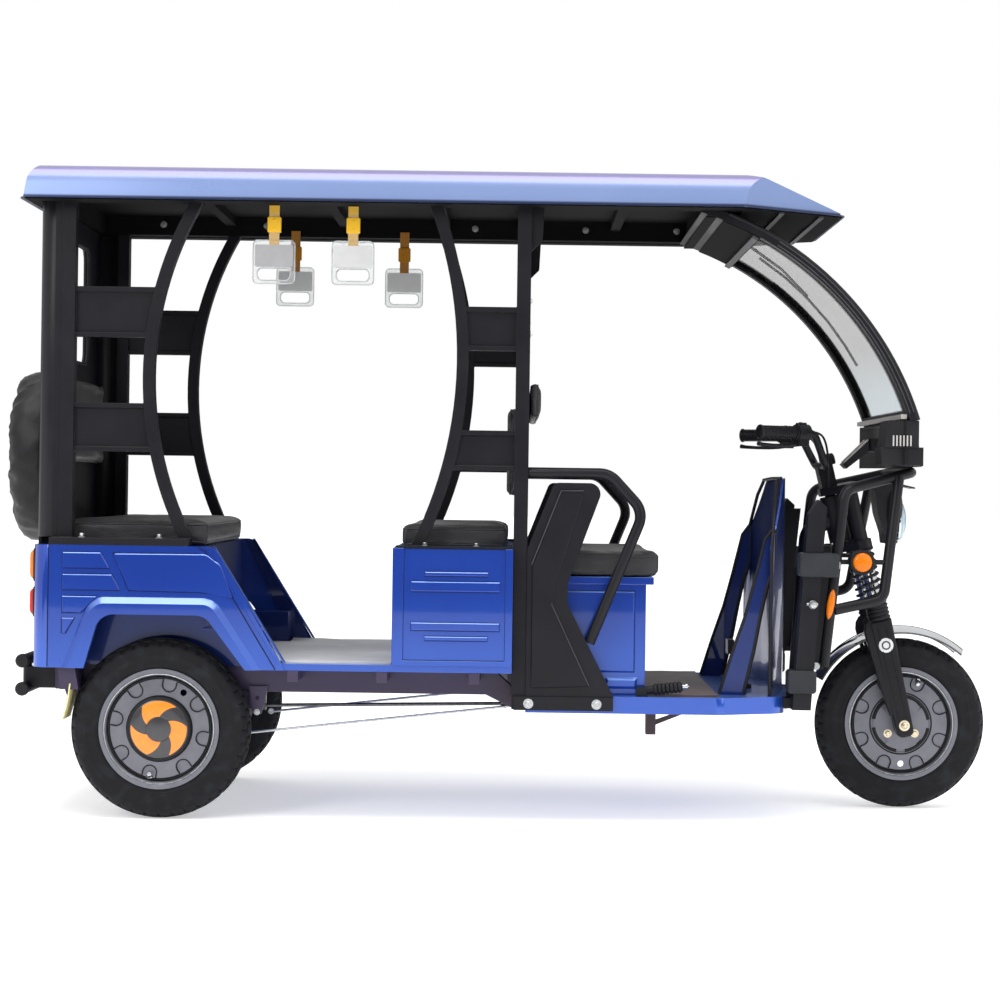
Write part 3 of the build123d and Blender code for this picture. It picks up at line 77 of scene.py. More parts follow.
def studio():
    reach = 60
    pale = Finish(
        "pale_floor", (0.9, 0.9, 0.9), roughness=0.9, emission_color=(1, 1, 1), emission_strength=0.42)
    corners = [(-reach, -reach, 0), (reach, -reach, 0), (reach, reach, 0), (-reach, reach, 0)]
    stage_sheet("floor", corners, pale)
    # Dark cards to both sides, which give the upright panels something dark to reflect
    dark = Finish("dark_card", (0.015, 0.015, 0.015), roughness=1.0, specular_ior_level=0.0)
    for name, y in (("near_card", -5.4), ("far_card", 5.4)):
        card = stage_sheet(name, [(-7, y, 0.30), (7, y, 0.30), (7, y, 2.3), (-7, y, 2.3)], dark)
        card.visible_camera = False
        card.visible_transmission = False
        card.visible_shadow = False
    world = bpy.data.worlds.new("studio")
    world.use_nodes = True
    backdrop = world.node_tree.nodes["Background"]
    backdrop.inputs["Color"].default_value = (1, 1, 1, 1)
    backdrop.inputs["Strength"].default_value = 1.0
    scene.world = world
    # name, place, aim, width, height, watts
    lights = [
        ("overhead", (0.0, -1.0, 5.2), (0, 0, 1.0), 6.0, 3.0, 260),
        ("key", (-4.0, -6.0, 4.4), (0, 0, 0.9), 2.4, 2.4, 150),
        ("fill", (4.5, -4.5, 2.2), (0.4, 0, 0.8), 2.0, 2.0, 40),
    ]
    for name, place, aim, width, height, watts in lights:
        lamp = bpy.data.lights.new(name, "AREA")
        lamp.shape = "RECTANGLE"
        lamp.size = width
        lamp.size_y = height
        lamp.energy = watts
        light = linked(name, lamp)
        light.location = place
        light.rotation_euler = (Vector(aim) - Vector(place)).to_track_quat("-Z", "Y").to_euler()


def operator(operation, swapped=False):
    """Method of Value for one Math node; swapped puts the other number first."""
    def apply(self, other=0.0):
        return self.maths(operation, *((other, self) if swapped else (self, other)))
    return apply


class Value:
    """One socket of a finish's nodes; arithmetic on it adds Math nodes."""

    def __init__(self, finish, socket):
        self.finish = finish
        self.socket = socket

    def maths(self, operation, first, second):
        return self.finish.node("ShaderNodeMath", {"operation": operation}, {0: first, 1: second})

    __add__, __radd__ = operator("ADD"), operator("ADD", True)
    __sub__, __rsub__ = operator("SUBTRACT"), operator("SUBTRACT", True)
    __mul__, __rmul__ = operator("MULTIPLY"), operator("MULTIPLY", True)
    __pow__, __abs__, sine = operator("POWER"), operator("ABSOLUTE"), operator("SINE")

    def ramp(self, low, high):
        """0 below low, 1 above high, smooth between."""
        return self.finish.node(
            "ShaderNodeMapRange", {"interpolation_type": "SMOOTHSTEP"},
            {"Value": self, "From Min": low, "From Max": high, "To Min": 0.0, "To Max": 1.0})

    def between(self, low, high, soft):
        """1 from low to high, 0 outside, with soft edges."""
        return self.ramp(low - soft, low + soft) * (1 - self.ramp(high - soft, high + soft))

    def wave(self, length):
        """Sine of a wavelength in metres."""
        return (self * (2 * pi / length)).sine()


class Finish:
    """A material on one Principled shader, with its varying inputs made by expressions."""

    def __init__(self, name, colour=(0.8, 0.8, 0.8), roughness=0.5, metallic=0.0, **constants):
        self.material = bpy.data.materials.new(name)
        self.material.use_nodes = True
        self.tree = self.material.node_tree
        self.shader = self.tree.nodes["Principled BSDF"]
        self.coat(colour, roughness)
        self.set("Metallic", metallic)
        for socket, value in constants.items():
            self.set(socket.replace("_", " ").title().replace("Ior", "IOR"), value)
        self.material.diffuse_color = (*colour, 1) if isinstance(colour, tuple) else (0.5, 0.5, 0.5, 1)

    def set(self, socket, value):
        self.fill(self.shader.inputs[socket], value)

    def coat(self, colour, roughness):
        self.set("Base Color", colour)
        self.set("Roughness", roughness)

    def fill(self, socket, value):
        if isinstance(value, Value):
            self.tree.links.new(value.socket, socket)
        elif isinstance(value, tuple) and len(value) == 3 and len(getattr(socket, "default_value", ())) == 4:
            socket.default_value = (*value, 1)
        else:
            socket.default_value = value

    def node(self, kind, settings=None, sockets=None, out=0):
        made = self.tree.nodes.new(kind)
        for name, value in (settings or {}).items():
            setattr(made, name, value)
        for name, value in (sockets or {}).items():
            self.fill(made.inputs[name], value)
        return Value(self, made.outputs[out])

    def place(self):
        """Where a point lies on the object, in metres: x, y, z."""
        at = self.node("ShaderNodeTexCoord", out=3)
        return [self.node("ShaderNodeSeparateXYZ", {}, {0: at}, out) for out in range(3)]

    def about(self, centre_x, centre_z):
        """Distances across, up and out from a centre on the vehicle's side."""
        x, y, z = self.place()
        across, up = x - centre_x, z - centre_z
        return across, up, (across * across + up * up) ** 0.5

    def noise(self, scale, detail=3.0, roughness=0.5, stretch=None):
        at = self.node("ShaderNodeTexCoord", out=3)
        if stretch:
            at = self.node("ShaderNodeVectorMath", {"operation": "MULTIPLY"}, {0: at, 1: stretch})
        sockets = {"Vector": at, "Scale": scale, "Detail": detail, "Roughness": roughness}
        return self.node("ShaderNodeTexNoise", {}, sockets)

    def cells(self, scale, feature="F1", out=0):
        at = self.node("ShaderNodeTexCoord", out=3)
        return self.node("ShaderNodeTexVoronoi", {"feature": feature}, {"Vector": at, "Scale": scale}, out)

    def mix(self, factor, first, second):
        made = self.tree.nodes.new("ShaderNodeMix")
        made.data_type = "RGBA"
        self.fill(made.inputs[0], factor)
        self.fill(made.inputs[6], first)
        self.fill(made.inputs[7], second)
        return Value(self, made.outputs[2])

    def bump(self, height, strength, distance):
        sockets = {"Height": height, "Strength": strength, "Distance": distance}
        self.set("Normal", self.node("ShaderNodeBump", {}, sockets))
        return self

    def facing_up(self):
        normal = self.node("ShaderNodeNewGeometry", out=1)
        return self.node("ShaderNodeSeparateXYZ", {}, {0: normal}, 2)


# Finishes
def blue_paint(name, deep, pale, sky_sheen, gloss, floor_sheen=0.0, hem=None):
    """Metallic blue; sky_sheen tints faces turned up, painted reflection of the sky; floor_sheen pales the
    lower body, painted reflection of the floor; hem is a dark low edge.
    """
    paint = Finish(name, metallic=0.45, coat_weight=gloss, coat_roughness=0.03, specular_ior_level=0.4)
    flake = paint.node("ShaderNodeSeparateColor", {}, {0: paint.cells(1500.0, out=1)}, 0)
    cloud = paint.noise(2.6, 4.0)
    x, y, z = paint.place()
    # Paler toward the foot: painted reflection of the floor
    foot = (1 - z.ramp(0.40, 0.66)) * floor_sheen
    body = paint.mix(cloud * 0.5 + foot, deep, pale)
    body = paint.mix(flake * 0.06, body, (0.10, 0.22, 0.62))
    # Faces turned up take a paler tint: painted reflection of the sky
    body = paint.mix(paint.facing_up().ramp(0.20, 0.75) * 0.75, body, sky_sheen)
    if hem:
        body = paint.mix(1 - z.ramp(hem, hem + 0.006), body, (0.020, 0.032, 0.090))
    paint.coat(body, 0.24 + cloud * 0.10 + flake * 0.05)
    return paint.bump(paint.noise(70.0, 2.0), 0.05, 0.0006)


def mottled(name, deep, pale, cloud, rough, bump=None, band=None, worn=None, **constants):
    """Two tones in one noise; rough is the least and the span, bump its own noise or None and its depth."""
    made = Finish(name, **constants)
    tone = made.noise(*cloud)
    made.coat(
        made.mix(tone.ramp(*band) if band else tone, deep, pale),
        rough[0] + (tone.ramp(*worn) if worn else tone) * rough[1])
    if bump:
        grain, strength, distance = bump
        made.bump(made.noise(*grain) if grain else tone, strength, distance)
    return made


def chassis_paint():
    paint = Finish("chassis_paint", coat_weight=0.2, coat_roughness=0.2, specular_ior_level=0.35)
    smear = paint.noise(7.0, 5.0)
    x, y, z = paint.place()
    worn = paint.mix(smear, (0.026, 0.019, 0.052), (0.046, 0.031, 0.070))
    paint.coat(paint.mix(x.ramp(-0.1, 0.1), worn, (0.030, 0.014, 0.022)), 0.34 + smear * 0.2)
    return paint.bump(paint.noise(300.0), 0.12, 0.0003)


def zinc_steel(name="zinc_steel", deep=(0.42, 0.43, 0.44), pale=(0.62, 0.63, 0.64)):
    metal = Finish(name, metallic=0.9)
    grey = metal.node("ShaderNodeSeparateColor", {}, {0: metal.cells(160.0, out=1)}, 0)
    metal.coat(metal.mix(grey, deep, pale), 0.28 + grey * 0.16)
    return metal


def moulded_plastic(name, deep, pale, shine=0.40):
    plastic = Finish(name, specular_ior_level=0.2)
    grain = plastic.cells(900.0)
    smear = plastic.noise(12.0, 4.0)
    plastic.coat(plastic.mix(smear, deep, pale), shine + smear * 0.18)
    return plastic.bump(grain, 0.16, 0.0003)


def leatherette():
    skin = Finish("leatherette", specular_ior_level=0.5, sheen_weight=0.05)
    grain = skin.cells(420.0, "DISTANCE_TO_EDGE")
    cloud = skin.noise(16.0, 5.0)
    skin.coat(skin.mix(cloud, (0.010, 0.010, 0.012), (0.022, 0.022, 0.025)), 0.26 + cloud * 0.20)
    creases = skin.noise(30.0, 6.0, 0.62, (1.0, 0.7, 2.4))
    return skin.bump(grain.ramp(0.0, 0.12) * 0.16 + creases, 0.55, 0.0045)


def ribbed_mat(name, deep, pale, scuffed):
    rubber = Finish(name, specular_ior_level=0.6)
    dust = rubber.noise(20.0, 6.0)
    scuff = rubber.noise(3.0, 5.0)
    rubber.coat(
        rubber.mix(scuff.ramp(0.45, 0.75) * 0.5, rubber.mix(dust, deep, pale), scuffed),
        0.34 + dust * 0.24)
    return rubber.bump(rubber.noise(240.0), 0.25, 0.0005)


def tinted_lens(name, deep, pale):
    lens = Finish(name, coat_weight=0.25, coat_roughness=0.05, specular_ior_level=0.2)
    x, y, z = lens.place()
    flutes = z.wave(0.008) * x.wave(0.010)
    lens.coat(lens.mix(lens.noise(40.0), deep, pale), 0.20 + lens.noise(25.0) * 0.08)
    return lens.bump(flutes, 0.35, 0.0010)


def screen_glass():
    glass = Finish("screen_glass", roughness=0.02, transmission_weight=1.0, ior=1.08, specular_ior_level=0.5)
    haze = glass.noise(5.0, 3.0)
    x, y, z = glass.place()
    tint = glass.mix(haze, (0.60, 0.60, 0.60), (0.69, 0.69, 0.685))
    tint = glass.mix(z.ramp(1.35, 1.15), tint, (0.72, 0.78, 0.81))
    glass.set("Base Color", glass.mix(abs(y).ramp(0.255, 0.300), tint, (0.03, 0.03, 0.033)))
    return glass


def lamp_glass():
    glass = Finish("lamp_glass", roughness=0.08, transmission_weight=0.35, ior=1.45, coat_weight=0.5)
    x, y, z = glass.place()
    flutes = y.wave(0.012)
    glass.set("Base Color", glass.mix(glass.noise(12.0), (0.36, 0.55, 0.68), (0.58, 0.76, 0.86)))
    return glass.bump(flutes, 0.35, 0.001)


def grey_card(name, deep, pale, thin):
    return mottled(
        name, deep, pale, (26.0, 6.0, 0.62), (0.30, 0.3), (None, 0.3, 0.001),
        specular_ior_level=0.4, transmission_weight=thin)


def webbing_cloth(name, deep, pale):
    cloth = Finish(name, sheen_weight=0.2)
    x, y, z = cloth.place()
    weave = x.wave(0.0022) * z.wave(0.003)
    cloth.coat(cloth.mix(weave * 0.5 + 0.5, deep, pale), 0.66 + cloth.noise(30.0) * 0.1)
    return cloth.bump(weave, 0.5, 0.0006)


def wrinkled_cover():
    cloth = Finish("wrinkled_cover", specular_ior_level=0.3)
    folds = cloth.noise(11.0, 6.0, 0.6, (1.0, 1.0, 0.6))
    cloth.coat(cloth.mix(folds, (0.003, 0.003, 0.004), (0.010, 0.010, 0.012)), 0.36 + folds * 0.2)
    return cloth.bump(folds + cloth.noise(400.0) * 0.03, 0.45, 0.010)


def hub_cap_paint(centre_x, centre_z):
    """Black cap with three orange blades that turn round a dark middle."""
    paint = Finish("hub_cap_paint", coat_weight=0.6, coat_roughness=0.12)
    across, up, out = paint.about(centre_x, centre_z)
    angle = up.maths("ARCTAN2", up, across)
    blade = ((angle + out * 14.0) * 3.0).sine().ramp(-0.42, -0.30)
    ring = out.between(0.034, 0.076, 0.0008)
    scuff = paint.noise(60.0, 4.0)
    dark = paint.mix(scuff, (0.014, 0.014, 0.017), (0.036, 0.036, 0.042))
    orange = paint.mix(scuff, (0.80, 0.20, 0.006), (0.92, 0.29, 0.014))
    paint.coat(paint.mix(ring * blade, dark, orange), 0.30 + scuff * 0.2)
    return paint.bump(ring * blade, 0.4, 0.0012)


def badge_paint(centre):
    """White disc with a dark ring."""
    paint = Finish("badge_paint", coat_weight=0.4)
    across, up, out = paint.about(centre[0] * MM, centre[2] * MM)
    ring = out.between(0.0085, 0.0130, 0.0004)
    scuff = paint.noise(200.0)
    pale = paint.mix(scuff, (0.62, 0.63, 0.64), (0.80, 0.81, 0.82))
    paint.coat(paint.mix(ring, pale, (0.02, 0.02, 0.022)), 0.35 + scuff * 0.2)
    return paint


blue = blue_paint("body_blue", (0.0004, 0.023, 0.260), (0.014, 0.074, 0.430), (0.18, 0.32, 0.74), 0.8, 0.8)
deep_blue = blue_paint(
    "shaded_blue", (0.0004, 0.008, 0.090), (0.003, 0.022, 0.160), (0.02, 0.06, 0.30), 0.5, 0.2)
# Roof paint: a paler copy of the body blue, painted reflection of the bright sky on the roof
roof_blue = blue_paint(
    "roof_blue", (0.16, 0.23, 0.44), (0.26, 0.33, 0.54), (0.15, 0.11, 0.22), 0.25, hem=1.680)
black = mottled(
    "black_paint", (0.006, 0.006, 0.008), (0.013, 0.013, 0.017), (9.0, 4.0), (0.34, 0.16),
    ((420.0, 3.0), 0.10, 0.0003), coat_weight=0.06, coat_roughness=0.25, specular_ior_level=0.18)
lining = mottled(
    "matt_lining", (0.003, 0.003, 0.0035), (0.008, 0.008, 0.009), (300.0, 3.0), (0.7, 0.2),
    (None, 0.2, 0.0005), specular_ior_level=0.06)
purple = chassis_paint()
rubber = mottled(
    "tyre_rubber", (0.007, 0.007, 0.009), (0.015, 0.016, 0.020), (26.0, 5.0), (0.60, 0.2),
    ((700.0, 2.0), 0.15, 0.0003), band=(0.45, 0.75), specular_ior_level=0.2)
grey = mottled(
    "wheel_grey", (0.120, 0.120, 0.145), (0.200, 0.200, 0.230), (30.0, 4.0), (0.36, 0.14),
    ((500.0,), 0.08, 0.0003), metallic=0.7, coat_weight=0.2, coat_roughness=0.2)
chrome = mottled(
    "bright_chrome", (0.50, 0.51, 0.53), (0.68, 0.69, 0.70), (14.0, 4.0), (0.04, 0.10),
    worn=(0.4, 0.8), metallic=1.0)
zinc = zinc_steel()
dark_steel = zinc_steel("dark_steel", (0.08, 0.08, 0.085), (0.14, 0.14, 0.15))
brass = zinc_steel("pale_brass", (0.70, 0.60, 0.42), (0.86, 0.78, 0.60))
plastic = moulded_plastic("black_plastic", (0.008, 0.008, 0.009), (0.018, 0.018, 0.021))
strap_grey = moulded_plastic("grey_plastic", (0.018, 0.019, 0.023), (0.034, 0.036, 0.042), 0.30)
pale_grey = moulded_plastic("pale_grey", (0.045, 0.045, 0.050), (0.080, 0.080, 0.086), 0.34)
fin_grey = moulded_plastic("fin_grey", (0.36, 0.34, 0.33), (0.50, 0.48, 0.47), 0.34)
# Buckles of the far grips take a darker copy of the yellow: painted shade
buckle_yellow = moulded_plastic("buckle_yellow", (0.80, 0.44, 0.02), (0.90, 0.54, 0.04), 0.3)
buckle_brown = moulded_plastic("buckle_brown", (0.42, 0.17, 0.01), (0.54, 0.23, 0.02), 0.3)
leather = leatherette()
mat_rubber = ribbed_mat("ribbed_mat", (0.380, 0.385, 0.405), (0.580, 0.585, 0.605), (0.800, 0.810, 0.830))
brown_rubber = ribbed_mat("brown_mat", (0.044, 0.026, 0.026), (0.078, 0.048, 0.048), (0.130, 0.095, 0.095))
amber = tinted_lens("amber_lens", (0.62, 0.135, 0.0005), (0.76, 0.200, 0.001))
red = tinted_lens("red_lens", (0.42, 0.005, 0.006), (0.62, 0.012, 0.012))
glass = screen_glass()
lamp_face = lamp_glass()
clear = mottled(
    "clear_plastic", (0.82, 0.83, 0.84), (0.95, 0.96, 0.96), (30.0, 5.0), (0.06, 0.25), (None, 0.3, 0.002),
    worn=(0.45, 0.8), transmission_weight=0.85, ior=1.15, specular_ior_level=0.5)
# Card greys: darker on the first near grip, paler on the second; the far grips, which stand in shade, get the
# palest and most see-through card, painted light
cards = [
    grey_card("darker_card", (0.38, 0.38, 0.39), (0.58, 0.58, 0.59), 0.25),
    grey_card("pale_card", (0.66, 0.66, 0.66), (0.86, 0.86, 0.86), 0.25),
    grey_card("lit_card", (0.78, 0.78, 0.78), (0.98, 0.98, 0.98), 0.75),
]
flap = mottled("pale_rubber", (0.62, 0.58, 0.26), (0.76, 0.72, 0.40), (22.0, 5.0), (0.6, 0.25))
# Straps of the far grips take a darker copy of the yellow webbing: painted shade
webbing = webbing_cloth("yellow_webbing", (0.66, 0.36, 0.02), (0.86, 0.53, 0.05))
far_webbing = webbing_cloth("brown_webbing", (0.34, 0.13, 0.01), (0.50, 0.21, 0.02))
cover = wrinkled_cover()
# Blue-black of the pipes round the pressings: painted shade
shade = moulded_plastic("painted_shade_line", (0.004, 0.008, 0.034), (0.006, 0.012, 0.050), 0.6)

# Finish of each carried-over solid
NODE_FINISH = {
    grey: ["rear_rim_left", "rear_rim_right", "front_rim"],
    purple: ["chassis_frame", "leaf_springs"],
    black: [
        "rear_axle", "rear_frames", "mid_frames", "rear_wall", "back_board", "side_guards",
        "windscreen_frame", "front_guard", "steering_head", "fork", "handlebar", "rear_bumper",
        "brake_controls",
    ],
    lining: ["roof_frame"],
    dark_steel: ["brake_rods"],
    blue: ["passenger_floor", "driver_floor", "body_sides", "mid_seat_box", "driver_seat_box"],
    deep_blue: ["rear_tub", "leg_shield"],
    roof_blue: ["roof_shell"],
    mat_rubber: ["floor_mats"],
    rubber: ["rear_tyre_left", "rear_tyre_right", "front_tyre"],
    leather: ["rear_backrest", "rear_cushion", "mid_cushion", "back_pads", "driver_cushion"],
    glass: ["windscreen_glass"],
    plastic: ["front_cowl", "bar_grips", "headlamp"],
    chrome: ["fork_springs", "front_fender"],
    amber: ["amber_lamps"],
    red: ["red_lamps"],
    cover: ["spare_wheel"],
    flap: ["mud_flaps"],
    clear: ["hand_grips"],
}
for finish, names in NODE_FINISH.items():
    for name in names:
        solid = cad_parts[name]
        solid.data.materials.clear()
        solid.data.materials.append(finish.material)

# Folded sheet and square tube get a small round on their edges, in millimetres
ROUNDED = {
    2.0: [
        "rear_frames", "mid_frames", "roof_frame", "rear_bumper", "chassis_frame", "mid_seat_box",
        "driver_seat_box",
    ],
    1.2: [
        "body_sides", "side_guards", "windscreen_frame", "driver_floor", "front_cowl", "passenger_floor",
        "leg_shield",
    ],
}
for width, names in ROUNDED.items():
    for name in names:
        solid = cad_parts[name]
        merge = solid.modifiers.new("merge", "WELD")
        merge.merge_threshold = 0.00005
        edge = solid.modifiers.new("edge", "BEVEL")
        edge.width = width * MM
        edge.segments = 2
        edge.limit_method = "ANGLE"
        edge.angle_limit = radians(40)
        edge.harden_normals = True
        edge.use_clamp_overlap = True


# Least radius that closes a turned form at its axis
TIP = 0.1


def turn(steps):
    """Angles of one full turn."""
    return [2 * pi * n / steps for n in range(steps)]


def circle(at, radius, angles):
    """Points round a point, seen from the vehicle's side."""
    return [(at[0] + radius * cos(a), at[1], at[2] + radius * sin(a)) for a in angles]


def facing(at, axis):
    """Place at a point with its own Z along an axis."""
    aim = Vector(axis).normalized().to_track_quat("Z", "Y")
    return Matrix.Translation(Vector(at)) @ aim.to_matrix().to_4x4()


def rounded(half_x, half_y, radius, steps=5):
    """Corner-rounded rectangle about the origin, as (x, y) points."""
    outline = []
    for cx, cy, start in ((1, 1, 0), (-1, 1, 90), (-1, -1, 180), (1, -1, 270)):
        for n in range(steps + 1):
            a = radians(start + 90 * n / steps)
            x, y = cx * (half_x - radius), cy * (half_y - radius)
            outline.append((x + radius * cos(a), y + radius * sin(a)))
    return outline


def oblong(x0, x1, z0, z1):
    """Corners of an upright rectangle, as (x, z) points."""
    return [(x0, z0), (x1, z0), (x1, z1), (x0, z1)]


def upright(outline, y):
    """Puts an (x, z) outline at a distance across."""
    return [(x, y, z) for x, z in outline]


def placed(name, data, body):
    """New object that rides on a body."""
    made = linked(name, data)
    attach(made, body)
    return made


class Form:
    """Closed shapes gathered into one mesh, in millimetres."""

    def __init__(self):
        self.points = []
        self.faces = []

    def loft(self, rings, cap=True, loop=False):
        base, count, last = len(self.points), len(rings[0]), len(rings) - 1
        for ring in rings:
            self.points += [Vector(p) for p in ring]
        for i in range(last + 1 if loop else last):
            k = (i + 1) % len(rings)
            for j in range(count):
                n = (j + 1) % count
                corners = ((i, j), (i, n), (k, n), (k, j))
                self.faces.append([base + row * count + spot for row, spot in corners])
        if cap and not loop:
            self.faces.append([base + j for j in reversed(range(count))])
            self.faces.append([base + last * count + j for j in range(count)])
        return self

    def slab(self, outline, *across):
        """Carries an (x, z) outline across the given Y's."""
        return self.loft([upright(outline, y) for y in across])

    def lathe(self, profile, at, axis, steps=32, loop=False):
        """Turns (radius, height) points about an axis."""
        place = facing(at, axis)
        rings = []
        for r, height in profile:
            ring = [(r * cos(a), r * sin(a), height) for a in turn(steps)]
            rings.append([place @ Vector(p) for p in ring])
        return self.loft(rings, not loop, loop)

    def turned(self, profile, at, axis, steps=32, top=None):
        """Solid turned about an axis, closed to the middle at its foot and its top."""
        top = profile[-1][1] if top is None else top
        return self.lathe([(TIP, profile[0][1]), *profile, (TIP, top)], at, axis, steps)

    def pipe(self, path, radius, sides, loop=False):
        """Round bar along a path; radius may be one number or one for each point."""
        path = [Vector(p) for p in path]
        count = len(path)
        radii = radius if isinstance(radius, list) else [radius] * count
        rings, side = [], None
        for n, at in enumerate(path):
            before = path[n - 1] if n or loop else at
            after = path[(n + 1) % count] if n < count - 1 or loop else at
            way = (after - before).normalized()
            if side is None:
                side = way.orthogonal().normalized()
            side = (side - way * side.dot(way)).normalized()
            third = way.cross(side)
            rings.append([at + (side * cos(a) + third * sin(a)) * radii[n] for a in turn(sides)])
        return self.loft(rings, not loop, loop)

    def plate(self, outline, at, axis, thick, edge):
        """Flat plate of an (x, y) outline, square to an axis, with eased edges."""
        place = facing(at, axis)
        middle = sum((Vector(p) for p in outline), Vector((0, 0))) / len(outline)
        rings = []
        for height, ease in ((0, edge), (edge, 0), (thick - edge, 0), (thick, edge)):
            eased = [Vector(p) + (middle - Vector(p)).normalized() * ease for p in outline]
            rings.append([place @ Vector((q.x, q.y, height)) for q in eased])
        return self.loft(rings)

    def bolt(self, at, axis, radius, height):
        washer, flat = radius * 1.7, radius * 1.1
        self.turned([(washer, 0), (washer, height * 0.22)], at, axis, 20)
        return self.turned([(flat, 0), (flat, height * 0.85), (flat * 0.82, height)], at, axis, 6)

    def make(self, name, finish=plastic, slot="black_plastic", sharp=35, body="chassis"):
        mesh = bpy.data.meshes.new(name)
        mesh.from_pydata([p * MM for p in self.points], [], self.faces)
        form = bmesh.new()
        form.from_mesh(mesh)
        bmesh.ops.remove_doubles(form, verts=form.verts, dist=0.00005)
        bmesh.ops.recalc_face_normals(form, faces=form.faces)
        form.to_mesh(mesh)
        form.free()
        mesh.shade_smooth()
        mesh.set_sharp_from_angle(angle=radians(sharp))
        mesh.materials.append(finish.material)
        return placed(name, mesh, body)


AXLE_Z = 245
REAR_AXLE_X = -922
FRONT_AXLE_X = 1158
REAR_WHEEL_Y = 420
# Outer faces of the body side, the driver's box and the side guards
BODY_Y, BOX_Y, GUARD_Y = 490.4, 380.4, 457
# body, centre, side that shows, angle of the first pocket
WHEELS = [
    ("rear_wheel_left", (REAR_AXLE_X, REAR_WHEEL_Y, AXLE_Z), 1, 78),
    ("rear_wheel_right", (REAR_AXLE_X, -REAR_WHEEL_Y, AXLE_Z), -1, 78),
    ("front_wheel", (FRONT_AXLE_X, 0, AXLE_Z), -1, 22.5),
]


# Tyres with moulded flanks and a block tread
def tyres():
    crown, shoulder, drop, groove = 245, 40.5, 17, 5.0
    steps, pitch = 240, 6
    # radius, distance from the middle
    flank = [
        (151, 39), (161, 40.4), (164.5, 42.6), (168, 44.4), (171, 45.4), (172.5, 46.6), (175, 46.7),
        (176.5, 46.0), (188, 47.0), (196, 47.3), (198, 48.2), (201, 48.2), (203, 47.2), (212, 46.6),
        (219, 45.2), (224, 43.2),
    ]
    # kind of band, distances from the middle
    bands = [
        ("shoulder", (shoulder + 1.0, 38, 32, 27)), ("groove", (26.4, 23.4)), ("block", (22.8, 15, 10.6)),
        ("groove", (10, 7)), ("middle", (6.4, 0)),
    ]
    half = [(-y, kind) for kind, places in bands for y in places]
    tread = half + [(-y, kind) for y, kind in reversed(half[:-1])]
    for body, (cx, cy, cz), *rest in WHEELS:
        rings = []
        for n, a in enumerate(turn(steps)):
            gap = {
                "shoulder": n % pitch == 0, "block": (n + 3) % pitch == 0,
                "middle": n % (2 * pitch) == 5, "groove": True,
            }
            column = [(r, -y) for r, y in flank]
            for y, kind in tread:
                column.append((crown - drop * (y / shoulder) ** 2 - (groove if gap[kind] else 0.0), y))
            column += reversed(flank)
            rings.append([(cx + r * cos(a), cy + y, cz + r * sin(a)) for r, y in column])
        node = body.replace("wheel", "tyre")
        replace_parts(Form().loft(rings, loop=True).make(node + "_treaded", rubber, "tyre", 50, body), node)


# Hub caps, valves, the pockets' outlines and the rings of each wheel's disc; the dark pocket outlines and the
# three dark disc rings are painted shade
def wheel_dress():
    face = REAR_WHEEL_Y + 44
    for side, name in SIDES:
        body = "rear_wheel_" + name
        axis = (0, side, 0)
        dome = [(79, 0), (79, 2.2), (76, 3.6), (60, 5.0), (36, 5.6), (33, 8.8), (22, 10.2)]
        cap = Form().turned(dome, (REAR_AXLE_X, side * (face - 1.5), AXLE_Z), axis, 64, 10.6)
        cap_paint = hub_cap_paint(REAR_AXLE_X * MM, AXLE_Z * MM)
        cap.make("hub_cap_" + name, cap_paint, "black_plastic", body=body)
        edge = [(80, 0), (86, 0), (87.5, 4), (85.5, 9.2), (82.5, 10.4), (80, 9.4)]
        seal = Form().lathe(edge, (REAR_AXLE_X, side * (face - 9), AXLE_Z), axis, 64, loop=True)
        seal.make("hub_seal_" + name, body=body)
        valve_stem("valve_" + name, REAR_AXLE_X, -101, side * (REAR_WHEEL_Y + 26), side, body)
    valve_stem("valve_front", FRONT_AXLE_X, 68, -26, -1, "front_wheel")
    pocket_r, pocket_mid, pocket_end = 19, 121, 133
    bend = [radians(90 + 180 * k / 12) for k in range(13)]
    pocket = [(pocket_mid + pocket_r * cos(a), pocket_r * sin(a)) for a in bend]
    pocket = [(pocket_end, pocket_r)] + pocket + [(pocket_end, -pocket_r)]
    for body, (cx, cy, cz), side, first in WHEELS:
        # Dark pipes round the pockets: painted shade
        lines = Form()
        for n in range(8):
            a = radians(first + 45 * n)
            c, s = cos(a), sin(a)
            y = cy + side * 32.6
            lines.pipe([(cx + r * c - t * s, y, cz + r * s + t * c) for r, t in pocket], 1.7, 6)
        # Dark rings in the groove by the flange, round the hub and inside the lip: painted shade
        for r, y, thick in ((139.5, 27.5, 3.2), (88.5, 33.0, 2.2), (152.5, 44.2, 1.3)):
            lines.pipe(circle((cx, cy + side * y, cz), r, turn(72)), thick, 6, loop=True)
        if body == "front_wheel":
            for n in range(4):
                arc = [radians(90 * n + 9 + 6 * k) for k in range(13)]
                lines.pipe(circle((cx, side * 35.2, cz), 79, arc), 5.5, 8)
        lines.make("wheel_lines_" + body, sharp=60, body=body)
        lip = Form().pipe(circle((cx, cy + side * 44.2, cz), 149, turn(72)), 1.7, 6, loop=True)
        lip.make("wheel_lip_" + body, zinc, "rim_grey", 60, body)
    # Hub nuts beside the front axle
    nuts = Form()
    for x, z in ((1120, 216), (1198, 217), (1150, 290)):
        nuts.bolt((x, -37.5, z), (0, -1, 0), 7, 12)
    nuts.make("front_hub_nuts", brass, "steel", body="front_wheel")


def valve_stem(name, axle_x, angle, y, side, body):
    radius, lean = 133, -0.45
    c, s = cos(radians(angle)), sin(radians(angle))
    stem = [(9, 0), (9, 3), (6, 6), (5.6, 16), (6.4, 17), (6.4, 24), (4.6, 26)]
    made = Form().turned(stem, (axle_x + radius * c, y, AXLE_Z + radius * s), (lean * c, side, lean * s), 16)
    made.make(name, chrome, "steel", body=body)


